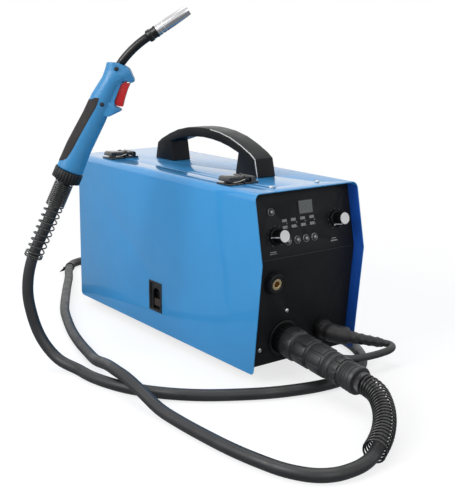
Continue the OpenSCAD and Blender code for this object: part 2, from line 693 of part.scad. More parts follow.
// ---- torch frame: X across the picture plane of the torch, Y up, Z towards the viewer ----
gun_at = [-273, -42, 287];
gun_turn = -36.6;
gun_u = [cos(gun_turn), sin(gun_turn), 0];
function gun_pt(p) = gun_at + p.x*gun_u + [0, 0, p.y];
module on_gun() translate(gun_at) rotate([0, 0, gun_turn]) rotate([90, 0, 0]) children();
gun_lean = 66;
gun_axis = [cos(gun_lean), sin(gun_lean)];
collar_l = 18;
collar_top = [4.5, 11.5];
collar_low = collar_top - collar_l*gun_axis;

// ---- torch lead route, from the torch to the machine ----
floor_lead = lead_d/2 + 0.05;
guard_l = 122;
gun_out = gun_pt(collar_low);
gun_dir = gun_pt(collar_low - gun_axis) - gun_out;
lead_floor_1 = [[-279, -75], [-277, -112], [-268, -150], [-253, -186], [-225, -226], [-190, -260],
    [-150, -287], [-109, -309], [-70, -323], [-36, -331], [-4, -333], [29, -327], [61, -311],
    [90, -285], [112, -251], [126, -210], [132, -165], [134, -110], [134, -30], [134, 60],
    [134, 150], [133, 240], [130, 320], [122, 388], [104, 444], [74, 484], [36, 500], [2, 488],
    [-26, 450], [-54, 396], [-94, 326], [-134, 254], [-163, 198], [-185, 144], [-206, 86],
    [-222, 30], [-233, -20]];
lead_hump = [[-244, -64, 12], [-252, -112, 21], [-259.5, -152, 25.8], [-262, -186, 25.6],
    [-264, -228, 20], [-264, -272, 11]];
lead_floor_2 = [[-262, -318], [-260, -368], [-256, -416], [-249, -458], [-239, -495],
    [-222, -523], [-200, -537]];
// points near the torch plug, measured from the front of the case
function from_front(pts) = [for (p = pts) p + [0, front_y, 0]];
lead_guarded = from_front([[-31.9, -166.5, 34.2], [-36, -180.5, 32.6], [-45, -196.5, 30.3],
    [-60, -216.5, 27.3], [-78, -235.5, 24], [-97, -251.5, 20.5]]);
lead_out = from_front([[-175, -283.5, 9], [-155, -282, 10.2], [-136, -276, 12.2],
    [-116, -265, 16]]);
function reversed(v) = [for (i = [len(v) - 1:-1:0]) v[i]];
function on_floor(pts) = [for (p = pts) [p.x, p.y, floor_lead]];
lead_route = concat(
    [gun_out, gun_out + 62*gun_dir, gun_out + 124*gun_dir],
    [[-323, -6, 124], [-319, -8, 84], [-308, -16, 45], [-293, -38, 17]],
    on_floor(lead_floor_1), lead_hump, on_floor(lead_floor_2), lead_out, reversed(lead_guarded),
    [lead_end]);
module torch_lead() color("#26272a") {
    even_tube(lead_route, lead_d/2, 10, [0, 0, 1]);
    echo(torch_lead_length = route_length(route(lead_route, 6)));
}

// ---- spring guards ----
guard_r = (guard_d - wire_d)/2;
per_turn = 8;
tight_turns = 13;
open_turns = 8;
tight_pitch = wire_d + 0.6;
guard_turns = tight_turns + open_turns + 2;
function gun_guard_rise(t) = t < tight_turns ? t*tight_pitch
    : t < tight_turns + open_turns
        ? tight_turns*tight_pitch + (t - tight_turns)*open_pitch
        : tight_turns*tight_pitch + open_turns*open_pitch + (t - tight_turns - open_turns)*tight_pitch;
open_pitch = (guard_l - wire_d - (tight_turns + 2)*tight_pitch)/open_turns;
gun_guard_t = [for (i = [0:guard_turns*per_turn]) i/per_turn];
gun_guard_axis = [for (t = gun_guard_t) gun_out + (wire_d + gun_guard_rise(t))*gun_dir];
gun_coil = coil(gun_guard_axis, gun_guard_t, guard_r, [0, 0, 1]);
module gun_guard() color("#1d1d1f") {
    even_tube(concat([gun_coil[0] - wire_d*gun_dir], gun_coil), wire_d/2, 6, [0, 0, 1]);
    echo(gun_guard_self_gap = self_gap(gun_coil, per_turn, wire_d));
}
// the guard rests on the floor where the lead goes down inside it
guard_floor = plug_guard_d/2 + 0.1;
guard_route = concat([lead_end], lead_guarded,
    from_front([[-116, -264.5, 18], [-136, -275.5, guard_floor]]));
guard_steps = 32;
machine_turns = 30;
machine_r = (plug_guard_d - wire_d)/2;
machine_axis = let (p = route(guard_route, guard_steps)) [for (i = [0:len(p) - 1]) p[i]
    + wire_d*lead_dir*(1 - i/(len(p) - 1))];
machine_run = travelled(machine_axis);
machine_guard_t = [for (s = machine_run) machine_turns*s/machine_run[len(machine_run) - 1]];
machine_coil = coil(machine_axis, machine_guard_t, machine_r, [1, 0, 0]);
module connector_guard() color("#1d1d1f") {
    even_tube(concat([machine_coil[0] - wire_d*lead_dir], machine_coil), wire_d/2, 6, [1, 0, 0]);
    echo(connector_guard_self_gap = self_gap(machine_coil, per_turn, wire_d));
}

// ---- torch ----
module gun_collar() color("#1d1d1f") on_gun() translate([collar_low.x, collar_low.y, 0])
    rotate([-90, 0, gun_lean - 90]) difference() {
        union() {
            cylinder(h = 3, r = guard_d/2 + 1);
            translate([0, 0, 3 - eps]) cylinder(h = collar_l - 3, r = collar_d/2);
        }
        for (i = [0:27]) rotate(360*i/28) translate([collar_d/2 + 0.7, 0, 2])
            cylinder(h = collar_l, r = 1.4);
    }
// a thin oval slice of the handle: place, lean of the axis, half width, half thickness
module slice(x, y, lean, a, b) translate([x, y, 0]) rotate([-90, 0, lean - 90])
    scale([a, b, 1]) cylinder(h = 0.6, r = 1, $fn = 32);
handle_slices = [[4.58, 11.68, 66, 19.5, 1], [18.8, 44.6, 65, 18.5, 0.95],
    [41.9, 88.6, 62, 17.3, 0.9], [53.2, 114, 60, 16.5, 0.88], [66.8, 138.5, 60, 14.5, 0.88],
    [76.7, 149, 66, 19.9, 0.85]];
module handle_form() {
    for (i = [0:len(handle_slices) - 2]) hull() for (k = [i, i + 1]) let (s = handle_slices[k])
        slice(s[0], s[1], s[2], s[3], s[4]*grip_t/2);
    hull() {
        slice(76.7, 149, 66, 19.9, 0.85*grip_t/2);
        slice(71, 165, 87, 10, 0.7*grip_t/2);
        translate([87, 152, -10]) cylinder(h = 20, r = 8, $fn = 24);
        translate([95.5, 141.5, -7]) cylinder(h = 14, r = 4.6, $fn = 24);
    }
    hull() {
        translate([62, 99, -11]) cylinder(h = 22, r = 9.5, $fn = 24);
        translate([79.8, 98.8, -7]) cylinder(h = 14, r = 1.6, $fn = 24);
    }
}
trigger_pivot = [84, 139];
trigger_t = 13;
module gun_half(left) color("#2f86cf") on_gun() difference() {
    intersection() {
        handle_form();
        translate([-60, -20, left ? 0.05 : -40]) cube([200, 220, 39.95]);
    }
    translate([0, 0, -trigger_t/2 - gap]) linear_extrude(trigger_t + 2*gap) {
        polygon([[68.3 - trigger_travel, 114], [70.5 - trigger_travel, 105], [78, 102.9],
            [120, 102.4], [120, 137], [trigger_pivot.x + trigger_r, 137], trigger_pivot,
            [80 - trigger_travel, 137], [74 - trigger_travel, 123]]);
        translate(trigger_pivot) circle(r = trigger_r + gap);
    }
    neck_place() translate([0, 0, -22]) cylinder(h = 22, r = neck_root_r + 0.02);
    neck_place() cylinder(h = 30, r = neck_d/2 + 0.6);
    for (s = gun_screw_at) translate([s.x, s.y, s.z]) cylinder(h = 40, r = screw_r + 0.1);
    for (s = gun_screw_at) translate([s.x, s.y, gun_screw_top - 1.6]) cylinder(h = 20, r = 3.2);
    translate([trigger_pivot.x, trigger_pivot.y, -trigger_t/2 - 3]) cylinder(h = trigger_t + 6,
        r = 1.52);
}
module gun_shell_left() gun_half(true);
module gun_shell_right() gun_half(false);
gun_screw_top = grip_t/2 - 2.4;
// place of each handle screw and the depth of its tip
gun_screw_at = [[76, 157, 7], [55, 107, -11]];
module gun_screws() color("#303236") on_gun() {
    for (s = gun_screw_at) translate([s.x, s.y, 0]) {
        translate([0, 0, s.z + seat]) cylinder(h = gun_screw_top - s.z - seat, r = screw_r);
        translate([0, 0, gun_screw_top - 1.4]) cylinder(h = 1.4, r = 3);
    }
    translate([trigger_pivot.x, trigger_pivot.y, -trigger_t/2 - 2.9]) cylinder(h = trigger_t + 5.8,
        r = pin_r);
}
trigger_r = 5;
module trigger() color("#c81e1e") on_gun() translate([0, 0, -trigger_t/2])
    difference() {
        union() {
            linear_extrude(trigger_t) polygon([[80.5, 136.5], [94, 136.5], [89.6, 126.5],
                [85.6, 114], [83, 103.6], [78.3, 104], [72, 106.4], [69.5, 110.5], [75, 122.5]]);
            translate(trigger_pivot) cylinder(h = trigger_t, r = trigger_r);
        }
        translate([trigger_pivot.x, trigger_pivot.y, -1]) cylinder(h = trigger_t + 2, r = pin_r + fit);
    }

// swan neck: straight root in the handle, then an arc, then a straight end for the nozzle
neck_from = [82, 166];
neck_a0 = 53;
neck_a1 = 33.5;
neck_bend_r = 150;
neck_mid = neck_from + neck_bend_r*[sin(neck_a0), -cos(neck_a0)];
neck_end = neck_mid + neck_bend_r*[-sin(neck_a1), cos(neck_a1)];
neck_dir = [cos(neck_a1), sin(neck_a1)];
neck_root_r = neck_d/2 - 0.2;
module neck_place() translate([neck_from.x, neck_from.y, 0]) rotate([0, 0, neck_a0 - 90])
    rotate([-90, 0, 0]) children();
module nozzle_place(d) on_gun() translate([neck_end.x + d*neck_dir.x, neck_end.y + d*neck_dir.y, 0])
    rotate([0, 0, neck_a1 - 90]) rotate([-90, 0, 0]) children();
module swan_neck() color("#1d1d1f") {
    on_gun() {
        neck_place() translate([0, 0, -22]) cylinder(h = 23, r = neck_root_r);
        translate([neck_mid.x, neck_mid.y, 0]) rotate([0, 0, 90 + neck_a1])
            rotate_extrude(angle = neck_a0 - neck_a1) translate([neck_bend_r, 0]) circle(r = neck_d/2);
    }
    nozzle_place(-1) cylinder(h = 11, r = neck_d/2 - 2);
}
insul_l = 14;
module neck_insulator() color("#101012") nozzle_place(0) difference() {
    union() {
        cylinder(h = insul_l - 3, r = nozzle_d/2 + 0.8);
        cylinder(h = insul_l + 8, r = nozzle_d/2 - 1.6);
    }
    translate([0, 0, -1]) cylinder(h = 11, r = neck_d/2 - 2 + 0.02);
    translate([0, 0, 9]) cylinder(h = 40, r = 4.02);
}
cone_l = 26;
module gas_nozzle() color("silver") nozzle_place(insul_l - 3 + seat/2) difference() {
    union() {
        cylinder(h = nozzle_l - cone_l, r = nozzle_d/2);
        translate([0, 0, nozzle_l - cone_l - eps]) cylinder(h = cone_l, r1 = nozzle_d/2,
            r2 = nozzle_d/2 - 1.9);
    }
    translate([0, 0, -1]) cylinder(h = nozzle_l - cone_l + 1, r = nozzle_d/2 - 1.58);
    translate([0, 0, -1]) cylinder(h = nozzle_l + 2, r = nozzle_d/2 - 2.9);
}
module contact_tip() color("peru") nozzle_place(0) {
    translate([0, 0, 10]) cylinder(h = insul_l + 10, r = 4);
    translate([0, 0, insul_l + 20 - eps]) cylinder(h = nozzle_l - 28, r = 3);
}

// ---- inside: electronics ----
sink_z = tray_z + sheet;
sink_h = 60;
sink_w = 78;
sink_x = part_x + sheet + 6;
sink_y = -90;
module heat_sink() color("silver") translate([sink_x, sink_y, sink_z]) {
    translate([0, 0, sink_h - 8]) cube([sink_w, sink_l, 8]);
    for (i = [0:sink_fins - 1]) translate([i*(sink_w - 3)/(sink_fins - 1), 0, sheet])
        cube([3, sink_l, sink_h - 8 - sheet + eps]);
    translate([sink_w - 3, 0, 0]) cube([3, sink_l, sheet + eps]);
}
module inverter_board() color("#1f6b3a") translate([sink_x, sink_y - 30, sink_z + sink_h]) {
    cube([sink_w, sink_l + 20, 2]);
    for (i = [0:3]) translate([20, 40 + 42*i, 2 - eps]) cylinder(h = 46, r = 15);
    translate([40, 30, 2 - eps]) cube([34, 50, 44]);
    translate([42, 110, 2 - eps]) cube([30, 90, 34]);
}
fan_y = rear_in_y - sheet - fan_t;
fan_bore = fan_size/2 - 2;
fan_hub_r = 17;
module fan_frame() color("#1b1c1e") translate([fan_x, fan_y, fan_z]) {
    difference() {
        translate([-fan_size/2, 0, -fan_size/2]) cube([fan_size, fan_t, fan_size]);
        translate([0, -1, 0]) rotate([-90, 0, 0]) cylinder(h = fan_t + 2, r = fan_bore);
    }
    translate([0, 1, 0]) rotate([-90, 0, 0]) cylinder(h = fan_t - 7, r = 3);
    rotate([-90, 0, 0]) cylinder(h = 3, r = fan_hub_r);
    for (i = [0:3]) rotate([0, 45 + 90*i, 0]) translate([14, 0.5, -2]) cube([fan_bore - 11, 2, 4]);
}
module fan_rotor() color("#2a2b2e") translate([fan_x, fan_y, fan_z]) difference() {
    union() {
        translate([0, 4, 0]) rotate([-90, 0, 0]) cylinder(h = fan_t - 8, r = fan_hub_r);
        for (i = [0:fan_blades - 1]) rotate([0, 360*i/fan_blades, 0])
            translate([fan_hub_r - 3, fan_t/2 + 1, 0]) rotate([32, 0, 0])
            translate([0, -0.8, -11]) cube([fan_bore - fan_hub_r - 2, 1.6, 22]);
    }
    translate([0, -1, 0]) rotate([-90, 0, 0]) cylinder(h = fan_t - 4, r = 3 + fit);
}

// ---- inside: wire feed, laid out on the torch socket's axis ----
feed_y = -118;
wire_gap = 0.8;
drive_off = -drive_d/2 - wire_gap/2;
press_off = press_d/2 + wire_gap/2;
roll_w = 12;
motor_shaft_r = 4;
axle_r = 3;
plate_t = 4;
feed_dist = low_y(low_z + euro_z) - feed_y;
// Z forward along the wire, Y up, X across, at the drive roll
module feed_frame() translate([euro_x, low_y(low_z + euro_z) - feed_dist*cos(tilt_low),
    low_z + euro_z - feed_dist*sin(tilt_low)]) rotate([90 + tilt_low, 0, 0]) children();
module feeder_plate() color("#8d9297") feed_frame() {
    difference() {
        translate([roll_w/2 + 2, -40, -60]) cube([plate_t, 88, 110]);
        translate([roll_w/2, drive_off, 0]) rotate([0, 90, 0]) cylinder(h = plate_t + 8, r = 10);
        translate([roll_w/2, arm_pivot.y, arm_pivot.x]) rotate([0, 90, 0])
            cylinder(h = plate_t + 8, r = axle_r - 0.02);
    }
    for (z = [26, -58]) translate([-5, -8, z]) difference() {
        cube([roll_w/2 + 8, 16, 20]);
        translate([5, 8, -1]) cylinder(h = 24, r = 1.5);
    }
    translate([-roll_w/2 - 2, arm_pivot.y, arm_pivot.x]) rotate([0, 90, 0])
        cylinder(h = roll_w + 8, r = axle_r);
    translate([roll_w/2 + 2 + plate_t - eps, -38, -56]) cube([part_x - euro_x - roll_w/2 - 2 - plate_t
        + eps, 12, 8]);
    translate([roll_w/2 + 2 + plate_t - eps, 36, 36]) cube([part_x - euro_x - roll_w/2 - 2 - plate_t
        + eps, 8, 12]);
}
module feed_motor() color("#3a3d41") feed_frame() translate([0, drive_off, 0]) rotate([0, 90, 0]) {
    translate([0, 0, roll_w/2 + 2 + plate_t]) cylinder(h = motor_l, r = motor_d/2);
    translate([0, 0, -roll_w/2 - 4]) cylinder(h = roll_w + 10 + plate_t + eps, r = motor_shaft_r);
}
module drive_roll() color("#9aa0a6") feed_frame() translate([-roll_w/2, drive_off, 0])
    rotate([0, 90, 0]) difference() {
        cylinder(h = roll_w, r = drive_d/2);
        translate([0, 0, -1]) cylinder(h = roll_w + 2, r = motor_shaft_r + fit);
        for (i = [0:2]) rotate(120*i + 60) translate([9, 0, -1]) cylinder(h = roll_w + 2, r = 2.2);
    }
module pressure_roll() color("#9aa0a6") feed_frame() translate([-roll_w/2, press_off, 0])
    rotate([0, 90, 0]) difference() {
        cylinder(h = roll_w, r = press_d/2);
        translate([0, 0, -1]) cylinder(h = roll_w + 2, r = axle_r + fit);
        for (i = [0:2]) rotate(120*i) translate([7.5, 0, -1]) cylinder(h = roll_w + 2, r = 1.6);
    }
arm_pivot = [-36, press_off + 10];
arm_t = 3;
module pressure_arm() feed_frame() {
    color("#1b1c1e") difference() {
        union() {
            translate([-roll_w/2 - gap - arm_t, 0, 0]) rotate([90, 0, 90]) linear_extrude(arm_t)
                polygon([[press_off - 6, 6], [press_off - 6, -4], [arm_pivot.y - 7, arm_pivot.x - 4],
                    [arm_pivot.y + 5, arm_pivot.x - 6], [arm_pivot.y + 9, arm_pivot.x],
                    [press_off + 16, 20], [press_off + 16, 44], [press_off + 8, 44],
                    [press_off + 8, 10]]);
            translate([-roll_w/2 - gap - arm_t, press_off + 8, 32]) cube([arm_t + roll_w, 8, 12]);
        }
        translate([-roll_w, arm_pivot.y, arm_pivot.x]) rotate([0, 90, 0])
            cylinder(h = 20, r = axle_r + fit);
    }
    color("silver") translate([-roll_w/2 - gap - eps, press_off, 0]) rotate([0, 90, 0])
        cylinder(h = roll_w + gap, r = axle_r);
    color("#1b1c1e") translate([0, press_off + 16 - eps, 38]) rotate([-90, 0, 0]) {
        cylinder(h = 6, r = 4);
        translate([0, 0, 6 - eps]) cylinder(h = 22, r = 8);
    }
}

// ---- inside: wire spool ----
spool_y = rear_in_y - spool_set;
spool_z = tray_z + sheet + 8 + spool_d/2;
spool_x1 = part_x - 26;
hub_r = hub_d/2;
wound_r = spool_d/2 - 12;
barrel_r = spool_d/4;
weld_r = 0.35;
module spool_hub() color("#3a3d41") translate([part_x, spool_y, spool_z]) rotate([0, -90, 0]) {
    cylinder(h = 5, r = 34);
    cylinder(h = 26 - gap, r = 20);
    cylinder(h = 26 + spool_w + 2, r = 8);
    translate([0, 0, 26]) cylinder(h = spool_w - 2, r = hub_r);
    translate([0, 0, 26 - gap - 2]) cylinder(h = 2, r = hub_r + 5);
    translate([0, 0, 26 + spool_w - 2 - eps]) cylinder(h = 2 + gap, r = hub_r - 4);
    translate([0, 0, 26 + spool_w + gap]) cylinder(h = 3, r = hub_r + 4);
}
module wire_spool() color("#c7742e") translate([spool_x1, spool_y, spool_z]) rotate([0, -90, 0])
    rotate_extrude() polygon([[hub_r + fit, 0], [spool_d/2, 0], [spool_d/2, 3], [wound_r, 3],
        [wound_r, spool_w - 3], [spool_d/2, spool_w - 3], [spool_d/2, spool_w],
        [barrel_r, spool_w], [barrel_r, 8], [hub_r + 4, 8], [hub_r + 4, spool_w],
        [hub_r + fit, spool_w]]);
// the wire leaves the spool low down, enters the guide and passes between the rolls
guide_back = [0, low_y(low_z + euro_z) - feed_dist*cos(tilt_low) + 58*cos(tilt_low),
    low_z + euro_z - feed_dist*sin(tilt_low) + 58*sin(tilt_low)];
module welding_wire() color("peru") {
    feed_frame() translate([0, 0, -58]) cylinder(h = 58 + 90, r = weld_r);
    to_hub = [spool_y - guide_back.y, spool_z - guide_back.z];
    slant = atan(to_hub.y/to_hub.x) - asin((wound_r + weld_r + seat)/norm(to_hub));
    translate([euro_x, guide_back.y, guide_back.z]) rotate([slant - 90, 0, 0])
        cylinder(h = sqrt(pow(norm(to_hub), 2) - pow(wound_r + weld_r + seat, 2)), r = weld_r);
}

// ---- rear fittings ----
power_r = 10;
gas_r = 6;
module switch_frame() color("#1b1c1e") translate([switch_x, rear_in_y, switch_z]) difference() {
    union() {
        translate([-switch_w/2 - 3, 0, -switch_h/2 - 3]) cube([switch_w + 6, 2, switch_h + 6]);
        translate([-switch_w/2 + seat, -22, -switch_h/2 + seat])
            cube([switch_w - 2*seat, 22 + eps, switch_h - 2*seat]);
    }
    translate([-switch_w/2 + 2, -10, -switch_h/2 + 2]) cube([switch_w - 4, 20, switch_h - 4]);
    translate([-switch_w/2 + 0.5, -2, 0]) rotate([0, 90, 0]) cylinder(h = switch_w - 1, r = pin_r + fit);
}
rocker_r = switch_h/2 - 3;
module switch_rocker() color("#a01818") translate([switch_x, rear_in_y - 2, switch_z]) {
    rotate([0, 90, 0]) translate([0, 0, -switch_w/2 + 3]) linear_extrude(switch_w - 6)
        polygon([[-rocker_r, 2], [-rocker_r + 1, 6.5], [0, 3], [rocker_r - 1, 4], [rocker_r, -1],
            [0, -4]]);
    rotate([0, 90, 0]) translate([0, 0, -switch_w/2 + 0.8]) cylinder(h = switch_w - 1.6, r = pin_r);
}
module rear_fittings() {
    color("#1b1c1e") translate([power_x, rear_in_y, power_z]) rotate([-90, 0, 0]) difference() {
        union() {
            translate([0, 0, -12]) cylinder(h = 12 + eps, r = power_r - 0.1);
            cylinder(h = 5, r = 14, $fn = 6);
            translate([0, 0, 5 - eps]) cylinder(h = 12, r1 = 11, r2 = 8.5);
        }
        through(5.5, 80);
    }
    color("goldenrod") translate([gas_x, rear_in_y, gas_z]) rotate([-90, 0, 0]) difference() {
        union() {
            translate([0, 0, -24]) cylinder(h = 24 + eps, r = gas_r - 0.1);
            cylinder(h = 5, r = 9, $fn = 6);
            for (i = [0:3]) translate([0, 0, 5 + 4*i - eps]) cylinder(h = 4 + eps, r1 = 4.8, r2 = 3.8);
        }
        through(2, 80);
    }
}

base_tray();
rubber_feet();
right_cover();
front_panel();
rear_panel();
partition();
carry_handle();
case_screws();
latch_bases();
display_window();
socket_bodies();
socket_contacts();
polarity_plug();
polarity_boot();
polarity_lead();
euro_socket();
euro_plug();
lead_collar();
connector_guard();
torch_lead();
gun_guard();
gun_collar();
gun_shell_left();
gun_shell_right();
swan_neck();
neck_insulator();
gas_nozzle();
contact_tip();
inverter_board();
heat_sink();
fan_frame();
control_board();
feeder_plate();
feed_motor();
spool_hub();
welding_wire();
switch_frame();
rear_fittings();
left_door();
hinge_leaves();
latch_keepers();
door_cup();
latch_lever_front();
latch_lever_rear();
knob_left();
knob_right();
button_inch();
button_1();
button_2();
button_3();
button_4();
coupling_nut();
trigger();
fan_rotor();
drive_roll();
pressure_roll();
pressure_arm();
wire_spool();
switch_rocker();
gun_screws();
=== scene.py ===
"""Dressed model of a portable wire-feed inverter welder with its torch and leads.

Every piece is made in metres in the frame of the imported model: floor at Z 0, the
control panel towards -Y, the door towards -X. Sizes in the tables and calls below are
in millimetres and angles in degrees, unless a line says otherwise.
"""

from __future__ import annotations

import logging
import math
from contextlib import contextmanager
from dataclasses import dataclass
from enum import Enum
from typing import Iterator, Sequence

import bpy
from mathutils import Matrix, Vector

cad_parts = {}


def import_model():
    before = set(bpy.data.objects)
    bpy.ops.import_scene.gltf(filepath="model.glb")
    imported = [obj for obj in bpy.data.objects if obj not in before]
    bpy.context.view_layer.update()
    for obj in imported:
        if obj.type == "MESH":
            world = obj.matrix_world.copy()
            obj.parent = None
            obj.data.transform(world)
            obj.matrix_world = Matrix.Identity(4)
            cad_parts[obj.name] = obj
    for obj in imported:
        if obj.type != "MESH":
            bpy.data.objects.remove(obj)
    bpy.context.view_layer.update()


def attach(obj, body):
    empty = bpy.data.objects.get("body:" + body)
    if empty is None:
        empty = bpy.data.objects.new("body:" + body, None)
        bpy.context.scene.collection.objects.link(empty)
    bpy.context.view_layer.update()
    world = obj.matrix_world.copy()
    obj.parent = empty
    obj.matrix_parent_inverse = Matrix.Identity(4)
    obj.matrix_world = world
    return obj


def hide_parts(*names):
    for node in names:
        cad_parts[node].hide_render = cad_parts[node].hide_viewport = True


LOG = logging.getLogger("welder")
MM = 0.001
Triple = tuple[float, float, float]
Pair = tuple[float, float]
Piece = bpy.types.Object
Node = bpy.types.Node
Tree = bpy.types.NodeTree
Socket = bpy.types.NodeSocket

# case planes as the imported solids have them
BODY_W = 196.0
BODY_L = 515.0
BODY_H = 262.0
FOOT_H = 14.0
TOP_Z = FOOT_H + BODY_H
FRONT_Y = -BODY_L / 2
PANEL_SET = 20.0
NOSE_D = 18.0
NOSE_Z = 164.0
TILT_LOW = math.atan(NOSE_D / NOSE_Z)
TILT_UP = math.atan(NOSE_D / (BODY_H - NOSE_Z))
REAR_IN_Y = BODY_L / 2 - 12.0
PART_X = -8.0
TRAY_Z = FOOT_H + 6.0
FAN_X = (PART_X + BODY_W / 2 - 1.5) / 2
FAN_Z = FOOT_H + 150.0
TORCH_SOCKET = (-31.0, 54.0)
LOW_SOCKET = (44.0, 55.0)
HIGH_SOCKET = (-58.0, 143.0)
LEAD_GLAND = (8.0, 36.0)


# ---------------------------------------------------------------- places
def shift(x: float = 0.0, y: float = 0.0, z: float = 0.0) -> Matrix:
    """A move in millimetres."""
    return Matrix.Translation(Vector((x, y, z)) * MM)


def spin(degrees: float, axis: str = "Z") -> Matrix:
    """A turn about an axis."""
    return Matrix.Rotation(math.radians(degrees), 4, axis)


def around(count: int, first: float = 0.0) -> list[Matrix]:
    """Even turns about Z, the first one a share of a step away from X."""
    return [Matrix.Rotation(2 * math.pi * (i + first) / count, 4, "Z") for i in range(count)]


def polar(radius: float, angle: float) -> Pair:
    """Point at a radius and an angle in radians."""
    return radius * math.cos(angle), radius * math.sin(angle)


def sector(outer: float, inner: float, half: float, steps: int, middle: float = 0.0) -> list[Pair]:
    """Outline of a piece of a ring.

    Args:
        outer: outer radius.
        inner: inner radius.
        half: half of its angle, in radians.
        steps: straight stretches along each arc.
        middle: angle of its middle, in radians.

    Returns:
        The corner points.
    """
    arc = [middle + half * (2 * i / steps - 1) for i in range(steps + 1)]
    return [polar(outer, a) for a in arc] + [polar(inner, a) for a in reversed(arc)]


def fluted(radius: float, dip: float, flutes: int, steps: int) -> list[Pair]:
    """Outline of a fluted or knurled round.

    Args:
        radius: radius at the ridges.
        dip: half the depth of a flute.
        flutes: number of flutes.
        steps: points for each flute.

    Returns:
        The corner points.
    """
    angles = (2 * math.pi * i / (flutes * steps) for i in range(flutes * steps))
    return [polar(radius - dip * (1 - math.cos(flutes * a)), a) for a in angles]


def lower_y(z: float) -> float:
    """Y of the lower half of the control panel at height z."""
    return FRONT_Y + PANEL_SET - NOSE_D * (z - FOOT_H) / NOSE_Z


def upper_y(z: float) -> float:
    """Y of the upper half of the control panel at height z."""
    return FRONT_Y + PANEL_SET - NOSE_D * (TOP_Z - z) / (BODY_H - NOSE_Z)


def lower_point(x: float, z: float) -> Vector:
    """Point on the lower panel."""
    return Vector((x, lower_y(z), z))


def on_lower(x: float, z: float, out: float = 0.0) -> Matrix:
    """Frame on the lower panel: Z points out of it and Y up along it."""
    lean = Matrix.Rotation(math.pi / 2 + TILT_LOW, 4, "X")
    return shift(*lower_point(x, z)) @ lean @ shift(z=out)


def on_upper(x: float, drop: float) -> Matrix:
    """Frame on the upper panel, a drop below the top: Z points out of it and Y up along it."""
    z = TOP_Z - drop
    return shift(x, upper_y(z), z) @ Matrix.Rotation(math.pi / 2 - TILT_UP, 4, "X")


def at_rear(x: float, z: float) -> Matrix:
    """Frame on the rear panel: Z points out of it."""
    return shift(x, REAR_IN_Y, z) @ spin(-90, "X")


def along(way: Vector) -> Matrix:
    """A turn that lays Z along a way."""
    return way.to_track_quat("Z", "Y").to_matrix().to_4x4()


GUN_AT = Vector((-273.0, -42.0, 287.0))
GUN_TURN = math.radians(-36.6)
GUN_U = Vector((math.cos(GUN_TURN), math.sin(GUN_TURN), 0.0))


def on_torch(x: float = 0.0, y: float = 0.0, out: float = 0.0) -> Matrix:
    """Frame of the torch: X and Y in its flat plane, Z out of its left side."""
    frame = Matrix.Translation(GUN_AT * MM) @ Matrix.Rotation(GUN_TURN, 4, "Z")
    return frame @ spin(90, "X") @ shift(x, y, out)


ACROSS = spin(90, "Y")
UPRIGHT = Matrix(((0, 0, 1, 0), (1, 0, 0, 0), (0, 1, 0, 0), (0, 0, 0, 1)))


# ---------------------------------------------------------------- finishes
# scales of the noises, per metre
PATCH_SCALE = 22.0
SMEAR_SCALE = 55.0
DUST_SCALE = 900.0
# what all finishes share
DUST_COLOUR = (0.55, 0.55, 0.54, 1)
COAT_ROUGHNESS = 0.04
RELIEF_STRENGTH = 0.35
BRUSH_STRETCH = (1, 0.03, 1)


def feed(tree: Tree, node: Node, inputs: dict[str | int, object]) -> None:
    """Give a node its inputs.

    Args:
        tree: the nodes.
        node: the node.
        inputs: a constant or another node's output for each input.
    """
    for key, value in inputs.items():
        if isinstance(value, Socket):
            tree.links.new(value, node.inputs[key])
        else:
            node.inputs[key].default_value = value


def add(tree: Tree, kind: str, inputs: dict[str | int, object], option: str = "") -> Node:
    """Add a node.

    Args:
        tree: the nodes.
        kind: its type, without the prefix.
        inputs: a constant or another node's output for each input.
        option: operation of a maths node.

    Returns:
        The node.
    """
    node = tree.nodes.new("ShaderNode" + kind)
    if option:
        node.operation = option
    feed(tree, node, inputs)
    return node


class Grain(Enum):
    """How the small relief of a finish runs."""

    NONE = "none"
    PEEL = "peel"
    MOULDED = "moulded"
    BRUSHED = "brushed"
    WOUND = "wound"


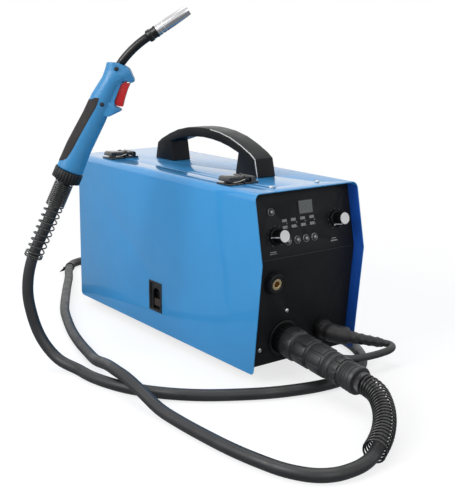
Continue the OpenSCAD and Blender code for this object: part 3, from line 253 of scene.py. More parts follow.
@dataclass(frozen=True)
class Finish:
    """One finish: its colour, gloss and small relief, all from nodes.

    Attributes:
        name: name of the material.
        slot: the record's material slot for the finish; it is handed on with the piece and never
            filled.
        colour: linear base colour.
        tint: second colour that slow patches drift to.
        drift: share of the second colour, 0 to 1.
        roughness: middle roughness.
        spread: how far the roughness wanders up and down.
        size: grain size in metres.
        depth: relief depth in metres.
        grain: kind of relief.
        metallic: 1 for bare metal.
        coat: clear coat weight.
        speck: share of pale dust specks.
        shine: specular level of the surface under the coat.
    """

    name: str
    slot: str
    colour: Triple
    tint: Triple
    drift: float
    roughness: float
    spread: float
    size: float = 0.0008
    depth: float = 0.00005
    grain: Grain = Grain.MOULDED
    metallic: float = 0.0
    coat: float = 0.0
    speck: float = 0.0
    shine: float = 0.5

    def material(self) -> bpy.types.Material:
        """The finish as a material, made once.

        Returns:
            The material, new or the one made before.
        """
        title = self.name + "_finish"
        made = bpy.data.materials.get(title)
        if made is not None:
            return made
        made = bpy.data.materials.new(title)
        made.use_nodes = True
        tree = made.node_tree
        shader = tree.nodes["Principled BSDF"]
        where = add(tree, "TexCoord", {}).outputs["Object"]
        feed(tree, shader, {
            "Metallic": self.metallic, "Coat Weight": self.coat, "Coat Roughness": COAT_ROUGHNESS,
            "Specular IOR Level": self.shine, "Base Color": self._colour(tree, where),
            "Roughness": self._gloss(tree, where)})
        if self.grain is not Grain.NONE:
            feed(tree, shader, {"Normal": self._relief(tree, where)})
        return made

    @staticmethod
    def _noise(tree: Tree, where: Socket, scale: float, detail: float,
               stretch: Triple = (1, 1, 1)) -> Socket:
        """A noise on Object coordinates.

        Args:
            tree: the material's nodes.
            where: the coordinates.
            scale: noise scale, per metre.
            detail: octaves.
            stretch: scale along each axis, for brushed metal.

        Returns:
            Its output.
        """
        lay = add(tree, "Mapping", {"Vector": where, "Scale": stretch})
        noise = {"Vector": lay.outputs["Vector"], "Scale": scale, "Detail": detail}
        return add(tree, "TexNoise", noise).outputs["Fac"]

    def _colour(self, tree: Tree, where: Socket) -> Socket:
        """Slow patches of the second colour, and specks of dust on top.

        Args:
            tree: the material's nodes.
            where: the coordinates.

        Returns:
            The colour.
        """
        ramp = add(tree, "ValToRGB", {"Fac": self._noise(tree, where, PATCH_SCALE, 4.0)})
        blend = [c + (t - c) * self.drift for c, t in zip(self.colour, self.tint)]
        stops = ramp.color_ramp.elements
        stops[0].position, stops[1].position = 0.35, 0.68
        stops[0].color, stops[1].color = (*self.colour, 1), (*blend, 1)
        if not self.speck:
            return ramp.outputs["Color"]
        dust = self._noise(tree, where, DUST_SCALE, 2.0)
        pick = add(tree, "MapRange", {"Value": dust, "From Min": 0.66, "From Max": 0.74,
                                      "To Max": self.speck})
        mix = tree.nodes.new("ShaderNodeMix")
        mix.data_type = "RGBA"
        feed(tree, mix, {"Factor": pick.outputs["Result"], 6: ramp.outputs["Color"],
                         7: DUST_COLOUR})
        return mix.outputs[2]

    def _gloss(self, tree: Tree, where: Socket) -> Socket:
        """Roughness that wanders with handling marks.

        Args:
            tree: the material's nodes.
            where: the coordinates.

        Returns:
            The roughness.
        """
        return add(tree, "MapRange", {
            "Value": self._noise(tree, where, SMEAR_SCALE, 5.0), "From Min": 0.3, "From Max": 0.7,
            "To Min": max(0.02, self.roughness - self.spread),
            "To Max": min(1.0, self.roughness + self.spread)}).outputs["Result"]

    def _relief(self, tree: Tree, where: Socket) -> Socket:
        """The fine relief of the finish.

        Args:
            tree: the material's nodes.
            where: the coordinates.

        Returns:
            The normal.
        """
        if self.grain is Grain.WOUND:
            wave = add(tree, "TexWave", {"Vector": where, "Scale": 1 / (self.size * 20),
                                         "Distortion": 0.6})
            wave.wave_type = "BANDS"
            wave.bands_direction = "X"
            height = wave.outputs["Fac"]
        else:
            stretch = BRUSH_STRETCH if self.grain is Grain.BRUSHED else (1, 1, 1)
            detail = 1.0 if self.grain is Grain.PEEL else 3.0
            height = self._noise(tree, where, 1 / self.size, detail, stretch)
        return add(tree, "Bump", {"Height": height, "Strength": RELIEF_STRENGTH,
                                  "Distance": self.depth}).outputs["Normal"]


BLUE_PAINT = Finish("blue_paint", "blue_paint", (0.048, 0.318, 0.690), (0.054, 0.335, 0.720),
                    0.5, 0.34, 0.04, 0.0036, 0.00002, Grain.PEEL, coat=0.8, shine=0.15)
# darker, less glossy blue for the inside of the right cover's overhang: painted shade
BLUE_PAINTED_SHADE = Finish("blue_paint_painted_shade", "blue_paint", (0.009, 0.096, 0.50), (0.012, 0.110, 0.53),
                    0.5, 0.4, 0.05, 0.0036, 0.00002, Grain.PEEL, coat=0.3)
BLACK_PANEL = Finish("black_panel", "black_panel", (0.0135, 0.014, 0.0155),
                     (0.018, 0.0185, 0.020), 0.6, 0.45, 0.08, 0.0012, 0.00005, Grain.PEEL,
                     speck=0.01, shine=0.15)
# lighter, shinier grey for the bead along the panel's fold: a painted highlight
BEND_HIGHLIGHT = Finish("bend_painted_highlight", "black_panel", (0.022, 0.0225, 0.024), (0.032, 0.0325, 0.034),
                   0.5, 0.34, 0.05, 0.0012, 0.00004, Grain.PEEL, shine=0.4)
SHEET_STEEL = Finish("sheet_steel", "sheet_steel", (0.10, 0.105, 0.11), (0.15, 0.15, 0.155),
                     0.5, 0.5, 0.1, 0.001, 0.00004, Grain.PEEL, metallic=0.4)
FOOT_RUBBER = Finish("foot_rubber", "foot_rubber", (0.018, 0.018, 0.019), (0.03, 0.03, 0.03),
                     0.6, 0.8, 0.08, 0.0009, 0.0001, speck=0.05)
GRIP = Finish("grip_rubber", "foot_rubber", (0.022, 0.019, 0.019), (0.036, 0.031, 0.030),
              0.6, 0.68, 0.08, 0.0010, 0.00016, speck=0.08, shine=0.3)
LEAD_RUBBER = Finish("lead_rubber", "lead_rubber", (0.016, 0.0164, 0.0178),
                     (0.031, 0.0315, 0.033), 0.8, 0.44, 0.1, 0.0011, 0.00009, speck=0.08)
WINDOW = Finish("window", "window", (0.080, 0.094, 0.098), (0.066, 0.078, 0.082),
                0.5, 0.12, 0.03, grain=Grain.NONE, coat=0.6)

# mouldings
BLACK_PLASTIC = Finish("black_plastic", "black_plastic", (0.009, 0.0095, 0.010),
                       (0.016, 0.0165, 0.018), 0.5, 0.36, 0.09, 0.0007, 0.00005, shine=0.3)
KNOB_BLACK = Finish("knob_black", "black_plastic", (0.006, 0.0065, 0.007), (0.010, 0.010, 0.011),
                    0.5, 0.42, 0.06, 0.0005, 0.00003, shine=0.16)
GREY_PLASTIC = Finish("grey_plastic", "black_plastic", (0.023, 0.0234, 0.0248),
                      (0.040, 0.0405, 0.042), 0.6, 0.42, 0.1, 0.0007, 0.00006, speck=0.03)
PLUG_BLACK = Finish("plug_black", "black_plastic", (0.016, 0.016, 0.017), (0.026, 0.026, 0.028),
                    0.6, 0.5, 0.1, 0.0009, 0.00008, speck=0.03)
HANDLE_BLACK = Finish("handle_black", "black_plastic", (0.007, 0.0075, 0.0085),
                      (0.011, 0.0115, 0.013), 0.5, 0.36, 0.07, 0.0014, 0.00012, shine=0.17)
# pale glossy grey for the handle's front chamfer: a painted highlight line on the black plastic
HANDLE_PAINTED_HIGHLIGHT = Finish("handle_painted_highlight", "black_plastic", (0.58, 0.58, 0.59), (0.48, 0.48, 0.49),
                     0.4, 0.14, 0.03, grain=Grain.NONE, metallic=0.3, coat=0.8)
LATCH_BLACK = Finish("latch_black", "black_plastic", (0.008, 0.0085, 0.009),
                     (0.014, 0.0145, 0.016), 0.5, 0.2, 0.05, 0.0008, 0.00004, coat=0.5)
CUP_BLACK = Finish("cup_black", "black_plastic", (0.016, 0.016, 0.017), (0.024, 0.024, 0.026),
                   0.5, 0.30, 0.06, 0.0006, 0.00004)
LIP_BROWN = Finish("lip_brown", "black_plastic", (0.040, 0.030, 0.024), (0.055, 0.042, 0.034),
                   0.5, 0.42, 0.08, 0.0006, 0.00004)
NECK_BLACK = Finish("neck_black", "black_plastic", (0.006, 0.006, 0.0065), (0.012, 0.012, 0.013),
                    0.5, 0.26, 0.07, 0.0016, 0.00005, Grain.PEEL, coat=0.2, shine=0.3)
SPOOL_BLACK = Finish("spool_black", "black_plastic", (0.012, 0.0125, 0.013), (0.02, 0.02, 0.021),
                     0.5, 0.42, 0.08, 0.0009, 0.00006, shine=0.4)
FAN_BLACK = Finish("fan_black", "black_plastic", (0.014, 0.0145, 0.015), (0.024, 0.024, 0.025),
                   0.5, 0.44, 0.08, 0.0008, 0.00005, speck=0.04)
CAPACITOR = Finish("capacitor_sleeve", "black_plastic", (0.02, 0.03, 0.07), (0.03, 0.045, 0.10),
                   0.5, 0.3, 0.05, grain=Grain.NONE, coat=0.4)
TORCH_BLUE = Finish("torch_blue", "torch_blue", (0.034, 0.235, 0.50), (0.040, 0.260, 0.55),
                    0.5, 0.38, 0.07, 0.0009, 0.00003)
RED_PLASTIC = Finish("red_plastic", "red_plastic", (0.50, 0.010, 0.013), (0.42, 0.008, 0.010),
                     0.4, 0.28, 0.06, 0.0009, 0.00003)
SWITCH_RED = Finish("switch_red", "red_plastic", (0.46, 0.020, 0.016), (0.38, 0.016, 0.014),
                    0.4, 0.3, 0.05, 0.0008, 0.00003)
WHITE_PRINT = Finish("white_print", "grey_plastic", (0.88, 0.88, 0.89), (0.78, 0.79, 0.80),
                     0.5, 0.5, 0.05, grain=Grain.NONE)
PRINT_GREY = Finish("print_grey", "grey_plastic", (0.30, 0.31, 0.32), (0.24, 0.25, 0.26),
                    0.5, 0.5, 0.05, grain=Grain.NONE)
SEGMENT = Finish("segment", "grey_plastic", (0.10, 0.115, 0.12), (0.09, 0.10, 0.105),
                 0.3, 0.3, 0.05, grain=Grain.NONE)
TAPE_YELLOW = Finish("tape_yellow", "brass", (0.72, 0.46, 0.06), (0.60, 0.36, 0.05),
                     0.5, 0.36, 0.06, 0.0008, 0.00003)
BOARD = Finish("board_green", "board_green", (0.018, 0.11, 0.05), (0.03, 0.15, 0.07),
               0.5, 0.35, 0.08, 0.0009, 0.00004, Grain.PEEL)
FERRITE = Finish("ferrite", "steel_dark", (0.030, 0.030, 0.031), (0.05, 0.05, 0.05),
                 0.6, 0.62, 0.1, 0.0006, 0.00008)
SCREW_BLACK = Finish("screw_black", "steel_dark", (0.008, 0.010, 0.016), (0.014, 0.016, 0.02),
                     0.5, 0.45, 0.08, 0.0005, 0.00003, metallic=0.2)

# metals
ZINC = Finish("zinc_plate", "zinc_plate", (0.60, 0.61, 0.62), (0.50, 0.50, 0.47),
              0.6, 0.32, 0.12, 0.0008, 0.00003, Grain.BRUSHED, 1.0)
SILVER_CAP = Finish("silver_cap", "zinc_plate", (0.80, 0.80, 0.81), (0.70, 0.70, 0.71),
                    0.5, 0.34, 0.06, 0.0005, 0.00002, Grain.BRUSHED, 0.35)
RING_GREY = Finish("ring_grey", "zinc_plate", (0.36, 0.365, 0.37), (0.44, 0.445, 0.45),
                   0.5, 0.36, 0.06, 0.0005, 0.00002, Grain.BRUSHED, 0.6)
CAP_GREY = Finish("cap_grey", "zinc_plate", (0.045, 0.046, 0.048), (0.07, 0.071, 0.073),
                  0.5, 0.36, 0.06, 0.0005, 0.00002, Grain.BRUSHED, 0.1)
HOOK_STEEL = Finish("hook_steel", "zinc_plate", (0.36, 0.325, 0.27), (0.27, 0.25, 0.21),
                    0.5, 0.26, 0.08, 0.0005, 0.00002, Grain.BRUSHED, 1.0)
KNURL_STEEL = Finish("knurl_steel", "zinc_plate", (0.085, 0.085, 0.09), (0.13, 0.13, 0.13),
                     0.5, 0.34, 0.08, 0.0006, 0.00003, Grain.BRUSHED, 0.7)
SPRING_WIRE = Finish("spring_wire", "spring_wire", (0.022, 0.022, 0.023), (0.05, 0.05, 0.05),
                     0.7, 0.24, 0.08, 0.0006, 0.00003, Grain.BRUSHED, 0.25, coat=0.3)
STEEL_DARK = Finish("steel_dark", "steel_dark", (0.24, 0.245, 0.25), (0.17, 0.17, 0.175),
                    0.6, 0.36, 0.1, 0.0006, 0.00003, Grain.BRUSHED, 1.0)
ALLOY = Finish("cast_alloy", "cast_alloy", (0.56, 0.57, 0.58), (0.46, 0.47, 0.48),
               0.5, 0.42, 0.1, 0.0007, 0.00004, Grain.BRUSHED, 1.0)
CHROME = Finish("nozzle_chrome", "nozzle_chrome", (0.68, 0.675, 0.69), (0.52, 0.505, 0.50),
                0.5, 0.2, 0.06, 0.0007, 0.00003, Grain.BRUSHED, 1.0)
BRASS = Finish("brass", "brass", (0.80, 0.64, 0.38), (0.66, 0.50, 0.27),
               0.6, 0.28, 0.1, 0.0006, 0.00003, Grain.BRUSHED, 1.0)
COPPER = Finish("copper", "copper", (0.72, 0.34, 0.20), (0.50, 0.22, 0.13),
                0.6, 0.3, 0.1, 0.0005, 0.00003, Grain.BRUSHED, 1.0)
COPPERED_WIRE = Finish("coppered_wire", "copper", (0.70, 0.36, 0.20), (0.52, 0.26, 0.14),
                       0.6, 0.3, 0.08, 0.0007, 0.00003, Grain.BRUSHED, 1.0)
WOUND_WIRE = Finish("wire_wound", "copper", (0.62, 0.33, 0.18), (0.48, 0.24, 0.13),
                    0.6, 0.34, 0.08, 0.0016, 0.0004, Grain.WOUND, 1.0)
ENAMELLED = Finish("enamelled_copper", "copper", (0.58, 0.20, 0.07), (0.44, 0.14, 0.05),
                   0.5, 0.28, 0.06, 0.0010, 0.0002, Grain.WOUND, 0.8, coat=0.4)


# ---------------------------------------------------------------- bench work
# distances under which points count as one, in metres
TURNED_WELD = 0.000002
NODE_WELD = 0.000005


class Bench:
    """Modelling steps that several sub-assemblies share."""

    @staticmethod
    def clear() -> None:
        """Leave edit mode and select nothing."""
        if bpy.context.object is not None and bpy.context.object.mode != "OBJECT":
            bpy.ops.object.mode_set(mode="OBJECT")
        bpy.ops.object.select_all(action="DESELECT")

    @staticmethod
    def hold(piece: Piece) -> None:
        """Select one piece alone and make it active.

        Args:
            piece: the piece.
        """
        Bench.clear()
        piece.hide_viewport = False
        piece.select_set(True)
        bpy.context.view_layer.objects.active = piece

    @staticmethod
    @contextmanager
    def opened(piece: Piece) -> Iterator[None]:
        """Edit mode on one piece, with all of it selected.

        Args:
            piece: the piece.
        """
        Bench.hold(piece)
        bpy.ops.object.mode_set(mode="EDIT")
        bpy.ops.mesh.select_all(action="SELECT")
        yield
        bpy.ops.object.mode_set(mode="OBJECT")

    @staticmethod
    def name(title: str) -> Piece:
        """Name the piece that an operator has just made.

        Args:
            title: its name.

        Returns:
            The piece.
        """
        piece = bpy.context.object
        piece.name = title
        piece.data.name = title
        return piece

    @staticmethod
    def linked(title: str, data: bpy.types.ID) -> Piece:
        """A new object in the scene round its data.

        Args:
            title: name of the object.
            data: its mesh, curve, lamp or camera.

        Returns:
            The object.
        """
        piece = bpy.data.objects.new(title, data)
        bpy.context.scene.collection.objects.link(piece)
        return piece

    @staticmethod
    def twin(piece: Piece, title: str = "") -> Piece:
        """A copy of a piece with a mesh of its own."""
        return Bench.linked(title or piece.name, piece.data.copy())

    @staticmethod
    def settle(piece: Piece, frame: Matrix | None = None) -> Piece:
        """Put a piece's place into its mesh, then move the mesh to a frame.

        Args:
            piece: the piece.
            frame: where its own origin goes.

        Returns:
            The same piece, at the origin, unturned and unscaled.
        """
        Bench.hold(piece)
        bpy.ops.object.transform_apply(location=True, rotation=True, scale=True)
        if frame is not None:
            piece.data.transform(frame)
            piece.data.update()
        return piece

    @staticmethod
    def apply(piece: Piece) -> Piece:
        """Apply every modifier of a piece.

        Args:
            piece: the piece.

        Returns:
            The same piece.
        """
        Bench.hold(piece)
        for modifier in list(piece.modifiers):
            bpy.ops.object.modifier_apply(modifier=modifier.name)
        return piece

    @staticmethod
    def cut(piece: Piece, tool: Piece, operation: str = "DIFFERENCE") -> Piece:
        """Cut a piece with a tool, and take the tool away.

        Args:
            piece: the piece.
            tool: what it is cut with.
            operation: DIFFERENCE to cut, INTERSECT to keep what both share.

        Returns:
            The same piece.
        """
        step = piece.modifiers.new("cut", "BOOLEAN")
        step.operation = operation
        step.solver = "EXACT"
        step.object = tool
        Bench.apply(piece)
        bpy.data.objects.remove(tool)
        return piece

    @staticmethod
    def soften(piece: Piece, width: float, steps: int = 2, angle: float = 32.0) -> Piece:
        """Round a piece's sharp edges.

        Args:
            piece: the piece.
            width: bevel width.
            steps: bevel segments.
            angle: least angle between faces.

        Returns:
            The same piece.
        """
        bevel = piece.modifiers.new("soft_edges", "BEVEL")
        bevel.width = width * MM
        bevel.segments = steps
        bevel.limit_method = "ANGLE"
        bevel.angle_limit = math.radians(angle)
        bevel.harden_normals = False
        return Bench.apply(piece)

    @staticmethod
    def smooth(piece: Piece, angle: float = 35.0) -> Piece:
        """Shade a piece smooth except at its sharp edges.

        Args:
            piece: the piece.
            angle: least angle of a sharp edge.

        Returns:
            The same piece.
        """
        Bench.hold(piece)
        bpy.ops.object.shade_smooth_by_angle(angle=math.radians(angle))
        return piece

    @staticmethod
    def wear(piece: Piece, *finishes: Finish) -> Piece:
        """Give a piece its finishes, the first one all over.

        Args:
            piece: the piece.
            finishes: the finishes, in the order of its material slots.

        Returns:
            The same piece.
        """
        piece.data.materials.clear()
        for finish in finishes:
            piece.data.materials.append(finish.material())
        return piece

    @staticmethod
    def ship(piece: Piece, finish: Finish, body: str = "case", replaced: Sequence[str] = (),
             at: Matrix | None = None, smooth: float = 0.0, slot: str = "") -> Piece:
        """Place, shade and dress a piece and hand it over to a body.

        Args:
            piece: the piece.
            finish: its finish.
            body: the body that it rides on.
            replaced: the nodes that it stands for.
            at: frame that it moves to, if it isn't in place.
            smooth: least angle of the edges that stay sharp, 0 for flat faces.
            slot: the record's material slot, if it isn't the finish's own.

        Returns:
            The same piece.
        """
        if at is not None:
            Bench.settle(piece, at)
        if smooth:
            Bench.smooth(piece, smooth)
        Bench.wear(piece, finish)
        return Bench.hand_over(piece, body, slot or finish.slot, replaced)

    @staticmethod
    def hand_over(piece: Piece, body: str, slot: str, replaced: Sequence[str] = ()) -> Piece:
        """Hand a piece that wears its finishes already over to a body.

        Args:
            piece: the piece, in place and dressed.
            body: the body that it rides on.
            slot: the record's material slot; not used.
            replaced: the nodes that it stands for.

        Returns:
            The same piece.
        """
        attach(piece, body)
        if replaced:
            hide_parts(*replaced)
        LOG.info("%s: %d faces on %s", piece.name, len(getattr(piece.data, "polygons", ())), body)
        return piece

    @staticmethod
    def cylinder(title: str, radius: float, depth: float, sides: int, at: Triple = (0, 0, 0),
                 frame: Matrix | None = None) -> Piece:
        """A round bar standing on Z.

        Args:
            title: name of the piece.
            radius: radius.
            depth: length along Z.
            sides: steps round the circle.
            at: middle of its foot.
            frame: where its own origin goes.

        Returns:
            The new piece.
        """
        Bench.clear()
        bpy.ops.mesh.primitive_cylinder_add(
            vertices=sides, radius=radius * MM, depth=depth * MM,
            location=(at[0] * MM, at[1] * MM, (at[2] + depth / 2) * MM))
        return Bench.settle(Bench.name(title), frame)

    @staticmethod
    def block(title: str, size: Triple, at: Triple, soft: float = 0.0, steps: int = 2,
              frame: Matrix | None = None) -> Piece:
        """A block with rounded edges.

        Args:
            title: name of the piece.
            size: size along each axis.
            at: its middle.
            soft: width of its rounded edges, 0 for sharp ones.
            steps: bevel segments.
            frame: where its own origin goes.

        Returns:
            The new piece.
        """
        Bench.clear()
        bpy.ops.mesh.primitive_cube_add(size=1, location=Vector(at) * MM)
        piece = Bench.name(title)
        piece.scale = Vector(size) * MM
        Bench.settle(piece)
        if soft:
            Bench.soften(piece, soft, steps)
        return Bench.settle(piece, frame)

    @staticmethod
    def turned(title: str, profile: Sequence[Pair], sides: int = 64,
               frame: Matrix | None = None) -> Piece:
        """Spin a profile of (radius, height) points about Z.

        Args:
            title: name of the piece.
            profile: points from one end of the axis to the other.
            sides: steps round the circle.
            frame: where its own origin goes.

        Returns:
            The new piece.
        """
        Bench.clear()
        mesh = bpy.data.meshes.new(title)
        mesh.from_pydata([(r * MM, 0, h * MM) for r, h in profile],
                         [(i, i + 1) for i in range(len(profile) - 1)], [])
        piece = Bench.linked(title, mesh)
        with Bench.opened(piece):
            bpy.ops.mesh.spin(steps=sides, angle=2 * math.pi, center=(0, 0, 0), axis=(0, 0, 1))
            bpy.ops.mesh.select_all(action="SELECT")
            bpy.ops.mesh.remove_doubles(threshold=TURNED_WELD)
            bpy.ops.mesh.normals_make_consistent(inside=False)
        return Bench.settle(piece, frame)

    @staticmethod
    def raise_faces(thick: float) -> None:
        """Draw the open mesh's faces out along Z, all facing outwards.

        Args:
            thick: how far.
        """
        bpy.ops.mesh.extrude_region_move(TRANSFORM_OT_translate={"value": (0, 0, thick * MM)})
        bpy.ops.mesh.select_all(action="SELECT")
        bpy.ops.mesh.normals_make_consistent(inside=False)

    @staticmethod
    def slab(title: str, outline: Sequence[Pair], thick: float,
             frame: Matrix | None = None) -> Piece:
        """A flat outline in XY, raised along Z.

        Args:
            title: name of the piece.
            outline: corner points, anticlockwise.
            thick: height.
            frame: where its own origin goes.

        Returns:
            The new piece.
        """
        Bench.clear()
        mesh = bpy.data.meshes.new(title)
        mesh.from_pydata([(x * MM, y * MM, 0) for x, y in outline], [],
                         [list(range(len(outline)))])
        piece = Bench.linked(title, mesh)
        with Bench.opened(piece):
            Bench.raise_faces(thick)
        return Bench.settle(piece, frame)

    @staticmethod
    def plate_frame(title: str, width: float, height: float, rim: float, thick: float) -> Piece:
        """A flat rectangular frame standing on XY.

        Args:
            title: name of the piece.
            width: size along X.
            height: size along Y.
            rim: width of the frame's strips.
            thick: height along Z.

        Returns:
            The new piece.
        """
        Bench.clear()
        bpy.ops.mesh.primitive_plane_add(size=1)
        piece = Bench.name(title)
        piece.scale = (width * MM, height * MM, 1)
        Bench.settle(piece)
        with Bench.opened(piece):
            bpy.ops.mesh.select_mode(type="FACE")
            bpy.ops.mesh.select_all(action="SELECT")
            bpy.ops.mesh.inset(thickness=rim * MM)
            bpy.ops.mesh.delete(type="FACE")
            bpy.ops.mesh.select_all(action="SELECT")
            Bench.raise_faces(thick)
            bpy.ops.mesh.select_mode(type="VERT")
        return piece

    @staticmethod
    def copy_node(node: str, title: str, flat: float = 0.4) -> Piece:
        """A merged copy of a CAD node's mesh, ready for edge work.

        Args:
            node: the node.
            title: name of the copy.
            flat: angle under which triangles join into faces.

        Returns:
            The copy, on no body yet.
        """
        piece = Bench.twin(bpy.data.objects[node], title)
        with Bench.opened(piece):
            bpy.ops.mesh.remove_doubles(threshold=NODE_WELD)
            if flat:
                bpy.ops.mesh.dissolve_limited(angle_limit=math.radians(flat))
        return piece

    @staticmethod
    def joined(title: str, pieces: Sequence[Piece]) -> Piece:
        """Join pieces into one.

        Args:
            title: its name.
            pieces: the pieces.

        Returns:
            The joined piece.
        """
        Bench.clear()
        for piece in pieces:
            piece.select_set(True)
        bpy.context.view_layer.objects.active = pieces[0]
        bpy.ops.object.join()
        return Bench.name(title)

    @staticmethod
    def spread(piece: Piece, places: Sequence[Matrix]) -> list[Piece]:
        """Copies of a piece at several places, in its stead.

        Args:
            piece: the piece.
            places: frame of each copy.

        Returns:
            The copies.
        """
        copies = [Bench.twin(piece) for _ in places]
        for copy, place in zip(copies, places):
            copy.data.transform(place)
        bpy.data.objects.remove(piece)
        return copies

    @staticmethod
    def edged(node: str, finish: Finish, width: float, steps: int, body: str = "case") -> Piece:
        """Replace a node by its copy with rounded edges.

        Args:
            node: the node.
            finish: the copy's finish.
            width: bevel width.
            steps: bevel segments.
            body: the body that it rides on.

        Returns:
            The copy.
        """
        piece = Bench.soften(Bench.copy_node(node, node + "_edged"), width, steps)
        return Bench.ship(piece, finish, body, (node,), smooth=35.0)


def curved(points: Sequence[Vector], steps: int) -> list[Vector]:
    """A smooth run through points.

    Args:
        points: route points.
        steps: how many stretches each span is cut into.

    Returns:
        The points of the run, the last route point included.
    """
    run: list[Vector] = []
    last = len(points) - 1
    for i in range(last):
        a, b = points[max(i - 1, 0)], points[i]
        c, d = points[i + 1], points[min(i + 2, last)]
        for k in range(steps):
            t = k / steps
            run.append(0.5 * (2 * b + (c - a) * t + (2 * a - 5 * b + 4 * c - d) * t * t
                              + (3 * b - a - 3 * c + d) * t * t * t))
    return run + [points[last]]


def tube(title: str, points: Sequence[Vector], diameter: float, round_steps: int,
         radii: Sequence[float] | None = None) -> Piece:
    """A round run along points, as one open curve.

    Args:
        title: name of the piece.
        points: centreline in metres.
        diameter: diameter.
        round_steps: bevel resolution of the section.
        radii: share of the radius at each point.

    Returns:
        The curve object.
    """
    curve = bpy.data.curves.new(title, "CURVE")
    curve.dimensions = "3D"
    curve.bevel_depth = diameter * MM / 2
    curve.bevel_resolution = round_steps
    curve.use_fill_caps = True
    spline = curve.splines.new("POLY")
    spline.points.add(len(points) - 1)
    for i, point in enumerate(points):
        spline.points[i].co = (*point, 1)
        spline.points[i].radius = 1 if radii is None else radii[i]
    spline.use_smooth = True
    return Bench.linked(title, curve)


def metres(points: Sequence[Sequence[float]]) -> list[Vector]:
    """Points in metres, from points in millimetres."""
    return [Vector(p) * MM for p in points]


def helix(axis: Sequence[Vector], turns: Sequence[float], radius: float,
          start: Triple) -> list[Vector]:
    """A helix carried along an axis without twist.

    Args:
        axis: points of the axis.
        turns: turns made up to each point.
        radius: radius of the wire's centre, in the axis's units.
        start: direction of the first point from the axis.

    Returns:
        The wire's centreline.
    """
    wire: list[Vector] = []
    arm = Vector(start)
    for i, point in enumerate(axis):
        way = (axis[min(i + 1, len(axis) - 1)] - axis[max(i - 1, 0)]).normalized()
        arm = (arm - way * arm.dot(way)).normalized()
        side = way.cross(arm)
        angle = 2 * math.pi * turns[i]
        wire.append(point + radius * (math.cos(angle) * arm + math.sin(angle) * side))
    return wire


